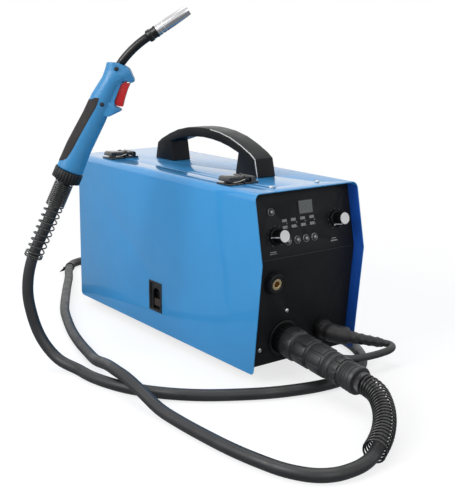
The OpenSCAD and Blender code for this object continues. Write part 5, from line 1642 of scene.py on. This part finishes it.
# ---------------------------------------------------------------- torch
@dataclass
class Torch:
    """Handle shells, grip inlay, trigger, collar, neck and nozzle."""

    voxel: float = 0.85
    seam: float = 0.12
    inlay_out: float = 0.45
    neck_from: Pair = (82.0, 166.0)
    neck_angles: Pair = (53.0, 33.5)
    neck_bend: float = 150.0
    nozzle_out: float = 16.1
    cheek_in: float = 7.3
    cheek_t: float = 2.4
    cheek_outline: tuple[Pair, ...] = (
        (60, 112), (68, 103.5), (73.2, 105.2), (72.0, 111), (76.6, 122.6), (82.2, 136.5),
        (76, 142), (66, 128))
    grip_outline: tuple[Pair, ...] = (
        (36.6, 113.2), (45.4, 116.4), (50.9, 115.6), (46.7, 104.6), (42.6, 97.4), (33.5, 82.3),
        (23.6, 64.8), (11.9, 43.9), (3.6, 31.1), (-2.9, 27.8), (-11.7, 26.2), (-26, 27),
        (-22, 50), (0, 90), (20, 122))

    def shells(self) -> None:
        """Both shells, melted to rounded forms and parted again at the seam."""
        raw = [Bench.copy_node(node, node + "_raw", 0)
               for node in ("gun_shell_left", "gun_shell_right")]
        raw += [Bench.slab("trigger_cheek", self.cheek_outline, self.cheek_t, on_torch(out=low))
                for low in (-self.cheek_in - self.cheek_t, self.cheek_in)]
        form = Bench.joined("torch_form", raw)
        form.data.transform(on_torch().inverted())
        melt = form.modifiers.new("melt", "REMESH")
        melt.mode = "VOXEL"
        melt.voxel_size = self.voxel * MM
        ease = form.modifiers.new("ease", "SMOOTH")
        ease.factor = 0.5
        ease.iterations = 7
        Bench.apply(form)
        self.inlay(form)
        for side, way in (("left", 1), ("right", -1)):
            half = Bench.twin(form, "torch_shell_" + side)
            with Bench.opened(half):
                bpy.ops.mesh.bisect(plane_co=(0, 0, self.seam * MM * way), plane_no=(0, 0, -way),
                                    clear_outer=True, use_fill=True)
            Bench.ship(half, TORCH_BLUE, replaced=("gun_shell_" + side,), at=on_torch(),
                       smooth=50)
        bpy.data.objects.remove(form)

    def inlay(self, form: Piece) -> None:
        """The dark rubber inlay over the back of the handle.

        Args:
            form: the handle's rounded form, in the torch's own frame.
        """
        grip = Bench.twin(form, "torch_grip_inlay")
        Bench.cut(grip, Bench.slab("inlay_core", self.grip_outline, 60, shift(z=-30)),
                  "INTERSECT")
        with Bench.opened(grip):
            bpy.ops.transform.shrink_fatten(value=self.inlay_out * MM)
        Bench.ship(grip, GRIP, at=on_torch(), smooth=45)

    def nozzle_place(self, out: float) -> Matrix:
        """Frame on the nozzle's axis.

        Args:
            out: distance out of the neck's end.

        Returns:
            The frame.
        """
        a0, a1 = (math.radians(v) for v in self.neck_angles)
        middle = Vector(self.neck_from) + self.neck_bend * Vector((math.sin(a0), -math.cos(a0)))
        end = middle + self.neck_bend * Vector((-math.sin(a1), math.cos(a1)))
        return (on_torch(end.x + out * math.cos(a1), end.y + out * math.sin(a1))
                @ Matrix.Rotation(a1 - math.pi / 2, 4, "Z") @ spin(-90, "X"))

    def nozzle(self) -> None:
        """The insulator's rings and the bright nozzle with its seat groove."""
        insulator = Bench.turned("neck_insulator_ring", [
            (4.3, 0), (6.9, 0), (8.5, 1.0), (9.05, 2.2), (9.05, 6.8), (8.1, 7.8), (8.1, 12.6),
            (8.8, 13.6), (8.8, 15.9), (6.6, 16), (6.6, 27), (4.3, 27), (4.3, 0)], 56)
        Bench.ship(insulator, NECK_BLACK, replaced=("neck_insulator",), at=self.nozzle_place(0),
                   smooth=40)
        nozzle = Bench.turned("gas_nozzle_bright", [
            (6.68, 0), (7.9, 0), (8.25, 0.4), (8.25, 5.4), (7.75, 5.9), (7.75, 7.2), (8.25, 7.7),
            (8.25, 12.2), (8.0, 12.6), (8.0, 13.2), (8.3, 13.6), (8.3, 27), (7.55, 48.6),
            (7.35, 49.2), (7.2, 52.4), (6.95, 53), (6.25, 53), (6.05, 52.6), (6.05, 28.4),
            (6.68, 27.4), (6.68, 0)], 72)
        Bench.ship(nozzle, CHROME, replaced=("gas_nozzle",), at=self.nozzle_place(self.nozzle_out),
                   smooth=30)

    def build(self) -> None:
        """Build the torch: shells, trigger, collar, neck, nozzle, tip and screws."""
        self.shells()
        Bench.edged("trigger", RED_PLASTIC, 1.3, 4, "trigger")
        Bench.edged("gun_collar", BLACK_PLASTIC, 0.45, 2)
        Bench.edged("swan_neck", NECK_BLACK, 0.3, 2)
        self.nozzle()
        Bench.edged("contact_tip", COPPER, 0.4, 2)
        Bench.edged("gun_screws", SCREW_BLACK, 0.3, 2)


# ---------------------------------------------------------------- wire feed
@dataclass
class WireFeed:
    """Feeder plate, rolls, pressure arm, motor and guides behind the torch socket."""

    back: float = 118.0
    drive_r: float = 15.0
    press_r: float = 12.5
    gap: float = 0.8
    roll_w: float = 12.0
    plate_t: float = 4.0
    motor_r: float = 23.0
    motor_l: float = 66.0
    knob_up: float = 16.0
    knob_z: float = 38.0
    spring_turns: int = 5
    spring_d: float = 10.0

    def at(self, x: float = 0.0, y: float = 0.0, z: float = 0.0) -> Matrix:
        """Frame of the feed: Z forward along the wire, Y up, X across, at the drive roll."""
        far = lower_y(TORCH_SOCKET[1]) + self.back
        return on_lower(*TORCH_SOCKET, far) @ shift(x, y, z)

    def roll(self, title: str, profile: Sequence[Pair], hole_at: float, hole_r: float,
             first: float, height: float) -> Piece:
        """A feed roll turned from its profile, with three drive holes.

        Args:
            title: name of the roll.
            profile: closed profile of (radius, distance across) points.
            hole_at: distance of the holes from the axis.
            hole_r: radius of the holes.
            first: angle of the first hole.
            height: height of the axis over the wire.

        Returns:
            The roll, in place.
        """
        roll = Bench.turned(title, profile, 72)
        drills = [Bench.cylinder("drill", hole_r, 20, 20,
                                 (*polar(hole_at, math.radians(first + turn)), -10))
                  for turn in (0, 120, 240)]
        Bench.cut(roll, Bench.joined("drills", drills))
        return Bench.smooth(Bench.settle(roll, self.at(0, height, 0) @ ACROSS), 30)

    def rolls(self) -> None:
        """The grooved drive roll with its cap, and the plain pressure roll."""
        w, r, p, half_gap = self.roll_w / 2, self.drive_r, self.press_r, self.gap / 2
        drive = self.roll("drive_roll_grooved", [
            (4.05, -w), (r - 0.9, -w), (r, -w + 0.9), (r, -2.9), (r - 0.5, -2.4), (r, -1.9),
            (r, -0.6), (r - 0.6, 0), (r, 0.6), (r, 1.9), (r - 0.5, 2.4), (r, 2.9), (r, w - 0.9),
            (r - 0.9, w), (4.05, w), (4.05, -w)], 9.0, 2.2, 60, -r - half_gap)
        Bench.ship(drive, STEEL_DARK, "drive", ("drive_roll",))
        cap = Bench.slab("drive_roll_cap", fluted(6.6, 0.25, 24, 4), 3.2)
        Bench.ship(cap, BLACK_PLASTIC, "drive", at=self.at(-w - 3.4, -r - half_gap, 0) @ ACROSS,
                   smooth=25)
        press = self.roll("pressure_roll_plain", [
            (3.05, -w), (5.4, -w), (5.7, -w + 0.6), (p - 3.2, -w + 0.6), (p - 2.9, -w),
            (p - 0.7, -w), (p, -w + 0.7), (p, w - 0.7), (p - 0.7, w), (p - 2.9, w),
            (p - 3.2, w - 0.6), (5.7, w - 0.6), (5.4, w), (3.05, w), (3.05, -w)],
            7.5, 1.6, 0, p + half_gap)
        Bench.ship(press, ZINC, "press", ("pressure_roll",), slot="steel_dark")

    def arm(self) -> None:
        """The pressure arm with its sprung, scaled tension knob."""
        Bench.edged("pressure_arm", BLACK_PLASTIC, 0.6, 3, "arm")
        high = self.press_r + self.gap / 2 + self.knob_up
        place = self.at(0, high, self.knob_z) @ spin(-90, "X")
        grip = Bench.slab("tension_knob_grip", fluted(8.5, 0.35, 16, 8), 13)
        Bench.ship(grip, RED_PLASTIC, "arm", at=place @ shift(z=14.2), smooth=25,
                   slot="black_plastic")
        bands = [Bench.turned("band", [(7.9, 7.2), (8.12, 7.3), (8.12, 7.8), (7.9, 7.9),
                                       (7.9, 7.2)], 40, place @ shift(z=1.9 * i))
                 for i in range(4)]
        Bench.ship(Bench.joined("tension_scale", bands), WHITE_PRINT, "arm")
        turns = [i / 20 for i in range(20 * self.spring_turns + 1)]
        axis = [place @ Vector((0, 0, (0.6 + 5.2 * t / self.spring_turns) * MM)) for t in turns]
        wire = helix(axis, turns, self.spring_d / 2 * MM, (1, 0, 0))
        Bench.ship(tube("tension_spring", wire, 1.0, 2), STEEL_DARK, "arm")

    def plate(self) -> None:
        """The cast feeder plate, its cap screws and the brass wire guides."""
        Bench.edged("feeder_plate", ALLOY, 0.7, 3)
        head = Bench.turned("cap_screw", [
            (0, 0.7), (1.9, 0.7), (2.1, 1.7), (3.7, 1.7), (4.1, 1.3), (4.1, 0), (0, 0)], 32)
        screws = Bench.spread(head, [
            self.at(self.roll_w / 2 + 2, y, z) @ spin(-90, "Y")
            for y, z in ((-34, -52), (-34, 40), (40, -52), (40, 8))])
        Bench.ship(Bench.joined("feeder_screws", screws), ZINC, smooth=35)
        guides = [Bench.turned("wire_guide", [
            (0.8, 0), (2.4, 0), (2.8, 1), (2.8, 4), (1.45, 5), (1.45, long - 4), (1.3, long),
            (0.8, long), (0.8, 0)], 32, self.at(0, 0, start))
            for start, long in ((-64, 42), (20, 44))]
        Bench.ship(Bench.joined("wire_guides", guides), BRASS, smooth=35)

    def motor(self) -> None:
        """The geared feed motor: gearbox, can, end bell and wires."""
        x0, r, long = self.roll_w / 2 + 2 + self.plate_t, self.motor_r, self.motor_l
        place = self.at(0, -self.drive_r - self.gap / 2, 0) @ ACROSS
        can = Bench.turned("feed_motor_can", [
            (0, -10), (3.6, -10), (4, -9.6), (4, x0), (r - 0.6, x0), (r, x0 + 0.6), (r, x0 + 15),
            (r - 0.8, x0 + 15.6), (r - 0.8, x0 + 17), (r - 0.2, x0 + 17.6), (r - 0.2, x0 + 54),
            (r - 1.2, x0 + 55), (0, x0 + 55)], 72)
        Bench.ship(can, STEEL_DARK, replaced=("feed_motor",), at=place, smooth=30)
        bell = Bench.turned("feed_motor_bell", [
            (0, x0 + 55), (r - 1.4, x0 + 55), (r - 1.4, x0 + 60), (r - 3.4, x0 + long - 2),
            (r - 5, x0 + long), (6, x0 + long), (5.6, x0 + long - 1.2), (0, x0 + long - 1.2)], 72)
        Bench.ship(bell, BLACK_PLASTIC, at=place, smooth=30)
        for name, side, finish in (("red", 1, RED_PLASTIC), ("black", -1, BLACK_PLASTIC)):
            start = place @ Vector((0, side * 12 * MM, (x0 + long - 2) * MM))
            route = [start, start + Vector((7, 0, 2)) * MM,
                     *metres([(60, -126, 70), (30 + 8 * side, -132, 96)])]
            Bench.ship(tube("motor_wire_" + name, curved(route, 8), 2.2, 3), finish,
                       slot="black_plastic")

    def build(self) -> None:
        """Build the wire feed."""
        self.rolls()
        self.arm()
        self.plate()
        self.motor()
        Bench.ship(Bench.copy_node("welding_wire", "welding_wire_drawn"), WOUND_WIRE,
                   replaced=("welding_wire",))


# ---------------------------------------------------------------- wire spool
@dataclass
class WireSpool:
    """The plastic spool with its flanges, the wire wound on it, and the hub."""

    x: float = PART_X - 26.0
    y: float = REAR_IN_Y - 125.5
    z: float = TRAY_Z + 9.5 + 100.0
    radius: float = 100.0
    wound: float = 88.0
    barrel: float = 50.0
    bore: float = 25.05
    width: float = 55.0
    layers: int = 42
    windows: int = 6
    window_inner: float = 58.0
    window_outer: float = 84.0
    window_share: float = 0.36

    def at(self, out: float = 0.0) -> Matrix:
        """Frame on the spool's axis: Z points towards the door, a distance out."""
        return shift(self.x, self.y, self.z) @ spin(-90, "Y") @ shift(z=out)

    def flange(self, title: str, inner: float, frame: Matrix) -> Piece:
        """One flange with a raised rim and windows, 3 mm thick.

        Args:
            title: name of the flange.
            inner: inner radius.
            frame: where it stands.

        Returns:
            The flange, in place.
        """
        r, b = self.radius, self.barrel
        disc = Bench.turned(title, [
            (inner, 0), (inner, 2.2), (b + 4, 2.2), (b + 5, 1.6), (r - 9, 1.6), (r - 8, 2.8),
            (r - 1.0, 3.0), (r, 2.2), (r, 0.8), (r - 1.0, 0), (inner, 0)], 96)
        half = math.radians(360 / self.windows * self.window_share)
        sectors = [Bench.slab("sector", sector(self.window_outer, self.window_inner, half, 8,
                                               2 * math.pi * i / self.windows), 20, shift(z=-10))
                   for i in range(self.windows)]
        return Bench.settle(Bench.cut(disc, Bench.joined("window_cutter", sectors)), frame)

    def spool(self) -> None:
        """Flanges, barrel, bore tube and the ribs between them."""
        w, rim = self.width, self.barrel - 2
        pieces = [self.flange("spool_flange_back", self.bore, self.at()),
                  self.flange("spool_flange_front", rim, self.at(w) @ spin(180, "X"))]
        pieces += [Bench.turned("spool_tube", [
            (inner, 0.4), (outer, 0.4), (outer, w - 0.6), (outer - 0.6, w - 0.1),
            (inner + 0.6, w - 0.1), (inner, w - 0.6), (inner, 0.4)], 72, self.at())
            for inner, outer in ((self.bore, 29.0), (rim, self.barrel))]
        pieces += [Bench.block("spool_rib", (20.0, 1.8, 40), (38.6, 0, 22), frame=self.at() @ turn)
                   for turn in around(self.windows, 0.5)]
        Bench.ship(Bench.joined("wire_spool_plastic", pieces), SPOOL_BLACK, "spool",
                   ("wire_spool",), smooth=35)

    def winding(self) -> None:
        """The wire on the spool, turn beside turn."""
        start, span, r, low = 3.2, self.width - 6.4, self.wound, self.barrel - 0.5
        pitch = span / self.layers
        outer = []
        for i in range(self.layers):
            foot = start + span * i / self.layers
            outer += [(r - 0.55, foot), (r - 0.08, foot + pitch * 0.28),
                      (r - 0.08, foot + pitch * 0.72)]
        wound = Bench.turned("wound_wire", [(low, start), *outer, (r - 0.55, start + span),
                                            (low, start + span), (low, start)], 96)
        Bench.ship(wound, COPPERED_WIRE, "spool", at=self.at(), smooth=60)

    def hub(self) -> None:
        """The hub with a winged brake nut on its end."""
        Bench.edged("spool_hub", GREY_PLASTIC, 0.8, 3)
        place = self.at(self.width + 3.3)
        nut = Bench.turned("hub_nut", [
            (0, 0), (11, 0), (12, 0.8), (12, 1.6), (10.5, 2.2), (0, 2.2)], 48, place)
        wing = Bench.block("hub_wing", (46, 9, 1.9), (0, 0, 0.95), 0.8, 3, place)
        Bench.ship(Bench.joined("hub_nut", [nut, wing]), RED_PLASTIC, smooth=35,
                   slot="black_plastic")

    def build(self) -> None:
        """Build the spool, its wire and the hub."""
        self.spool()
        self.winding()
        self.hub()


# ---------------------------------------------------------------- electronics
@dataclass
class Electronics:
    """Heat sink, inverter board with its components, control board and fan."""

    x: float = PART_X + 7.5
    y: float = -120.0
    z: float = TRAY_Z + 1.5 + 60.0
    width: float = 78.0
    length: float = 240.0
    cans: int = 4
    can_pitch: float = 42.0
    core_at: Pair = (57.0, 55.0)
    coil_pitch: float = 8.4
    choke_y: Pair = (132, 178)
    choke_r: float = 11.5
    choke_turns: int = 34
    fan_r: float = 38.0
    fan_t: float = 25.0
    blades: int = 7
    blade_twist: float = -14.0
    blade_lean: float = -58.0

    def on_board(self, x: float = 0.0, y: float = 0.0, up: float = 2.0) -> Matrix:
        """Frame on the inverter board, from its front left corner."""
        return shift(self.x + x, self.y + y, self.z + up)

    def fitted(self, title: str, finish: Finish,
               blocks: Sequence[tuple[Triple, Triple, float, int]]) -> None:
        """Blocks that stand on the board, as one piece.

        Args:
            title: name of the piece.
            finish: its finish.
            blocks: size, middle, edge radius and bevel segments of each block.
        """
        parts = [Bench.block(title, *block, self.on_board()) for block in blocks]
        Bench.ship(Bench.joined(title, parts), finish)

    def board(self) -> None:
        """The board itself with its fixing screws."""
        wide, long = self.width, self.length
        board = Bench.block("inverter_board_sheet", (wide, long, 2.0), (wide / 2, long / 2, -1.0),
                            0.25, 1, self.on_board())
        Bench.ship(board, BOARD, replaced=("inverter_board",))
        screws = [Bench.turned("board_screw", [
            (0, 0), (3, 0), (3, 0.6), (2.3, 1.7), (1, 2.0), (0, 2.0)], 24, self.on_board(x, y))
            for x in (5, wide - 5) for y in (5, long / 2, long - 5)]
        Bench.ship(Bench.joined("board_screws", screws), ZINC, smooth=40)

    def capacitors(self) -> None:
        """The smoothing capacitors: crimped sleeves with bright tops."""
        can = Bench.turned("capacitor", [
            (0, 0), (14.0, 0), (14.6, 0.8), (14.6, 2.6), (14.0, 3.6), (14.0, 4.6), (14.7, 5.6),
            (14.7, 44.4), (14.2, 45.2), (12.8, 45.2), (12.6, 44.8), (0, 44.8)], 48)
        top = Bench.turned("capacitor_top", [
            (0, 44.9), (12.5, 44.9), (12.2, 45.5), (1, 45.3), (0, 45.3)], 40)
        places = [self.on_board(20, 40 + self.can_pitch * i) for i in range(self.cans)]
        for title, piece, finish in (("capacitor_sleeves", can, CAPACITOR),
                                     ("capacitor_tops", top, ALLOY)):
            Bench.ship(Bench.joined(title, Bench.spread(piece, places)), finish, smooth=35)

    def transformer(self) -> None:
        """The main transformer: a ferrite frame round taped, wound coils."""
        x, y = self.core_at
        self.fitted("transformer_core", FERRITE, [(size, at, 0.6, 2) for size, at in (
            ((34, 50, 9), (x, y, 4.5)), ((34, 50, 9), (x, y, 39.5)),
            ((34, 8, 44), (x, y - 21, 22)), ((34, 8, 44), (x, y + 21, 22)),
            ((14, 14, 44), (x, y, 22)))])
        places = [self.on_board(x, y, 2.0 + self.coil_pitch * i) for i in range(3)]
        coils = [Bench.turned("coil", [
            (8, 9.6), (15.6, 9.6), (16.4, 10.6), (16.4, 15.6), (15.6, 16.6), (8, 16.6),
            (8, 9.6)], 48, place) for place in places]
        tapes = [Bench.turned("tape", [
            (16.3, 11.6), (16.8, 11.8), (16.8, 14.4), (16.3, 14.6), (16.3, 11.6)], 48, place)
            for place in places]
        Bench.ship(Bench.joined("transformer_coils", coils), ENAMELLED, smooth=35)
        Bench.ship(Bench.joined("transformer_tape", tapes), TAPE_YELLOW, smooth=35)

    def chokes(self) -> None:
        """Two standing ring chokes with their copper turns."""
        cores, r, lay = [], self.choke_r, 5.4
        per_turn, turns = 14, self.choke_turns
        for y in self.choke_y:
            place = self.on_board(self.core_at[0], y, 2 + 17) @ ACROSS
            Bench.clear()
            bpy.ops.mesh.primitive_torus_add(major_segments=48, minor_segments=16,
                                             major_radius=r * MM, minor_radius=4.6 * MM)
            cores.append(Bench.settle(Bench.name("choke_core"), place))
            wire = []
            for i in range(turns * per_turn + 1):
                turn = 2 * math.pi * i / per_turn
                way = math.radians(300) * i / (turns * per_turn) + math.radians(120)
                spot = (*polar(r + lay * math.cos(turn), way), lay * math.sin(turn))
                wire.append(place @ (Vector(spot) * MM))
            Bench.ship(tube("choke_winding_%d" % y, wire, 1.5, 2), ENAMELLED)
        Bench.ship(Bench.joined("choke_cores", cores), FERRITE, smooth=60)

    def power_devices(self) -> None:
        """Rows of power transistors, film capacitors, a relay and board connectors."""
        rows = [30 + 27 * i for i in range(7)]
        self.fitted("power_devices", BLACK_PLASTIC, [
            *(((4.6, 15.6, 20), (3.6, y, 15), 0.4, 2) for y in rows),
            ((16, 10, 16), (66, 96, 8), 0.7, 3), ((16, 14, 16), (66, 222, 8), 0.7, 3)])
        tabs = []
        for y in rows:
            tabs.append(((1.6, 14.4, 22), (1.0, y, 16), 0.2, 1))
            tabs += [((0.8, 1.2, 6), (3.6, y + k, 2.6), 0.0, 1) for k in (-4.4, 0, 4.4)]
        self.fitted("device_tabs", ZINC, tabs)
        self.fitted("film_capacitors", TAPE_YELLOW, [
            ((long * 0.45, 8.5, 13), (x, y, 6.5), 1.0, 3)
            for x, y, long in ((46, 12, 24), (46, 24, 18), (66, 16, 20), (44, 214, 14))])
        self.fitted("board_plugs", WHITE_PRINT, [
            ((11, 5.5, 7), (x, y, 3.5), 0.4, 2)
            for x, y in ((12, 8), (28, 8), (30, 226), (48, 232))])

    def harness(self) -> None:
        """Thin wires from the board to the control board, and the heavy output cable."""
        colours = (("red", RED_PLASTIC), ("black", BLACK_PLASTIC), ("white", WHITE_PRINT),
                   ("blue", TORCH_BLUE))
        for i, (name, finish) in enumerate(colours):
            start = self.on_board(7.5 + 3 * i, 8, 8).translation
            route = [start, start + Vector((0, -6, 14)) * MM,
                     *metres([(12 + 3 * i, -168, 128), (14 + 4 * i, -196, 165),
                              (14 + 4 * i, -208, 190)])]
            Bench.ship(tube("harness_" + name, curved(route, 8), 1.7, 3), finish,
                       slot="black_plastic")
        inner = on_lower(*LOW_SOCKET, -34).translation
        route = [inner, inner + Vector((0, 14, 4)) * MM,
                 *metres([(50, -150, 76), (56, -122, 90), (58, -112, 87)])]
        Bench.ship(tube("output_cable", curved(route, 8), 9.0, 5), BLACK_PLASTIC)

    def control(self) -> None:
        """The control board behind the upper panel, with chips."""
        Bench.edged("control_board", BOARD, 0.2, 1)
        chips = [Bench.block("chip", size, (x, up, -17.2), 0.25, 1, on_upper(0, 54))
                 for x, up, size in ((8, 18, (12, 12, 2)), (-20, 12, (9, 6, 2)),
                                     (36, 10, (9, 6, 2)), (-40, -14, (7, 5, 2)),
                                     (50, -12, (10, 7, 2)))]
        Bench.ship(Bench.joined("control_chips", chips), BLACK_PLASTIC)

    def fan(self) -> None:
        """Fan frame, rounded hub and seven twisted blades."""
        Bench.edged("fan_frame", BLACK_PLASTIC, 0.7, 2)
        place = shift(FAN_X, REAR_IN_Y - 1.5 - self.fan_t, FAN_Z) @ spin(-90, "X")
        pieces = [Bench.turned("fan_hub", [
            (3.1, 4), (16.4, 4), (17, 4.6), (17, 19), (15.6, 20.6), (11, 21), (10.6, 20.7),
            (3.1, 20.7), (3.1, 4)], 64, place)]
        long = self.fan_r - 17 + 1
        for turn in around(self.blades):
            blade = Bench.block("fan_blade", (long, 21, 1.6), (long / 2, 0, 0))
            with Bench.opened(blade):
                bpy.ops.mesh.subdivide(number_cuts=5)
            twist = blade.modifiers.new("twist", "SIMPLE_DEFORM")
            twist.deform_method = "TWIST"
            twist.deform_axis = "X"
            twist.angle = math.radians(self.blade_twist)
            Bench.soften(Bench.apply(blade), 0.4, 1, 50)
            root = shift(14, 0, self.fan_t / 2 + 0.6) @ spin(self.blade_lean, "X")
            pieces.append(Bench.settle(blade, place @ turn @ root))
        Bench.ship(Bench.joined("fan_rotor_moulded", pieces), FAN_BLACK, "fan", ("fan_rotor",),
                   smooth=45)

    def build(self) -> None:
        """Build the electronics."""
        Bench.edged("heat_sink", ALLOY, 0.3, 1)
        Bench.edged("partition", ZINC, 0.3, 1)
        self.board()
        self.capacitors()
        self.transformer()
        self.chokes()
        self.power_devices()
        self.harness()
        self.control()
        self.fan()


# ---------------------------------------------------------------- rear panel
@dataclass
class RearPanel:
    """Fan screws, mains switch, gas inlet, mains gland, earth stud and a blank plate."""

    x: float = -58.0
    gland_z: float = FOOT_H + 60.0
    gas_z: float = FOOT_H + 110.0
    plate_z: float = 172.0
    stud: Pair = (-22.0, FOOT_H + 24)
    fan_hole: float = 35.75
    gland_ribs: int = 12

    @staticmethod
    def hexagon(title: str, radius: float, thick: float, frame: Matrix) -> Piece:
        """A six-sided nut body with softened corners, standing on Z."""
        nut = Bench.cylinder(title, radius, thick, 6, frame=spin(30))
        return Bench.settle(Bench.soften(nut, 0.6, 2), frame)

    def gland(self) -> None:
        """The mains gland: nut, ribbed dome and rubber seal."""
        place = at_rear(self.x, self.gland_z)
        pieces = [self.hexagon("gland_nut", 14, 5, place), Bench.turned("gland_dome", [
            (5.6, -12), (9.8, -12), (9.8, -0.2), (9.8, 4.9), (11, 4.9), (11, 10), (10.4, 13.4),
            (8.6, 16.6), (7.2, 17), (5.6, 16.6), (5.6, -12)], 64, place)]
        pieces += [Bench.block("gland_rib", (0.9, 1.6, 6.4), (11.1, 0, 8.6), frame=place @ turn)
                   for turn in around(self.gland_ribs)]
        Bench.ship(Bench.joined("mains_gland", pieces), BLACK_PLASTIC,
                   replaced=("rear_fittings",), smooth=35)

    def gas_inlet(self) -> None:
        """The brass hose barb with its nut and washer."""
        place = at_rear(self.x, self.gas_z)
        nut = self.hexagon("gas_nut", 9, 5, place)
        points = [(2.1, -24), (5.4, -24), (5.9, -23), (5.9, 0), (4.9, 0.2), (4.9, 5)]
        for i in range(4):
            points += [(4.8, 5.4 + 4 * i), (3.8, 8.8 + 4 * i)]
        barb = Bench.turned("gas_barb", points + [(3.4, 21), (2.1, 21), (2.1, -24)], 48, place)
        Bench.ship(Bench.joined("gas_inlet", [nut, barb]), BRASS, smooth=35)

    def trim(self) -> None:
        """Fan screws, an earth stud and a blank plate with four rivets."""
        corners = [(sx, sz) for sx in (-1, 1) for sz in (-1, 1)]
        screws = [Bench.turned("fan_screw", [
            (0, 0), (3.6, 0), (3.6, 0.5), (3.0, 1.6), (1.6, 2.2), (0, 2.3)], 28,
            at_rear(FAN_X + self.fan_hole * sx, FAN_Z + self.fan_hole * sz))
            for sx, sz in corners]
        screws += [Bench.turned("rivet", [(0, 0.4), (1.7, 0.4), (1.4, 1.0), (0, 1.3)], 20,
                                at_rear(self.x + 21 * sx, self.plate_z + 8 * sz))
                   for sx, sz in corners]
        Bench.ship(Bench.joined("rear_screws", screws), ZINC, smooth=40)
        plate = Bench.block("blank_plate", (48, 22, 0.5), (0, 0, 0.25), 0.15, 1)
        Bench.ship(plate, ALLOY, at=at_rear(self.x, self.plate_z))
        stud = Bench.turned("earth_stud", [
            (0, 0), (5.4, 0), (5.4, 0.8), (4.4, 0.9), (4.4, 3.6), (2.1, 3.7), (2.1, 8.6),
            (1.6, 9.2), (0, 9.2)], 32)
        Bench.ship(stud, BRASS, at=at_rear(*self.stud), smooth=30)

    def build(self) -> None:
        """Dress the rear panel: gland, gas inlet, mains switch and trim."""
        self.gland()
        self.gas_inlet()
        Bench.edged("switch_frame", BLACK_PLASTIC, 0.7, 3)
        Bench.edged("switch_rocker", SWITCH_RED, 0.6, 3, "rocker")
        self.trim()


def main() -> None:
    """Load the frame and build every sub-assembly, each piece's face count going to the log."""
    logging.basicConfig(level=logging.INFO, format="%(name)s: %(message)s")
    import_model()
    Bench.clear()
    for assembly in (Studio(), Leads(), CaseShell(), ControlPanel(), TorchPlug(), Torch(),
                     WireFeed(), WireSpool(), Electronics(), RearPanel()):
        assembly.build()


if __name__ == "__main__":
    main()
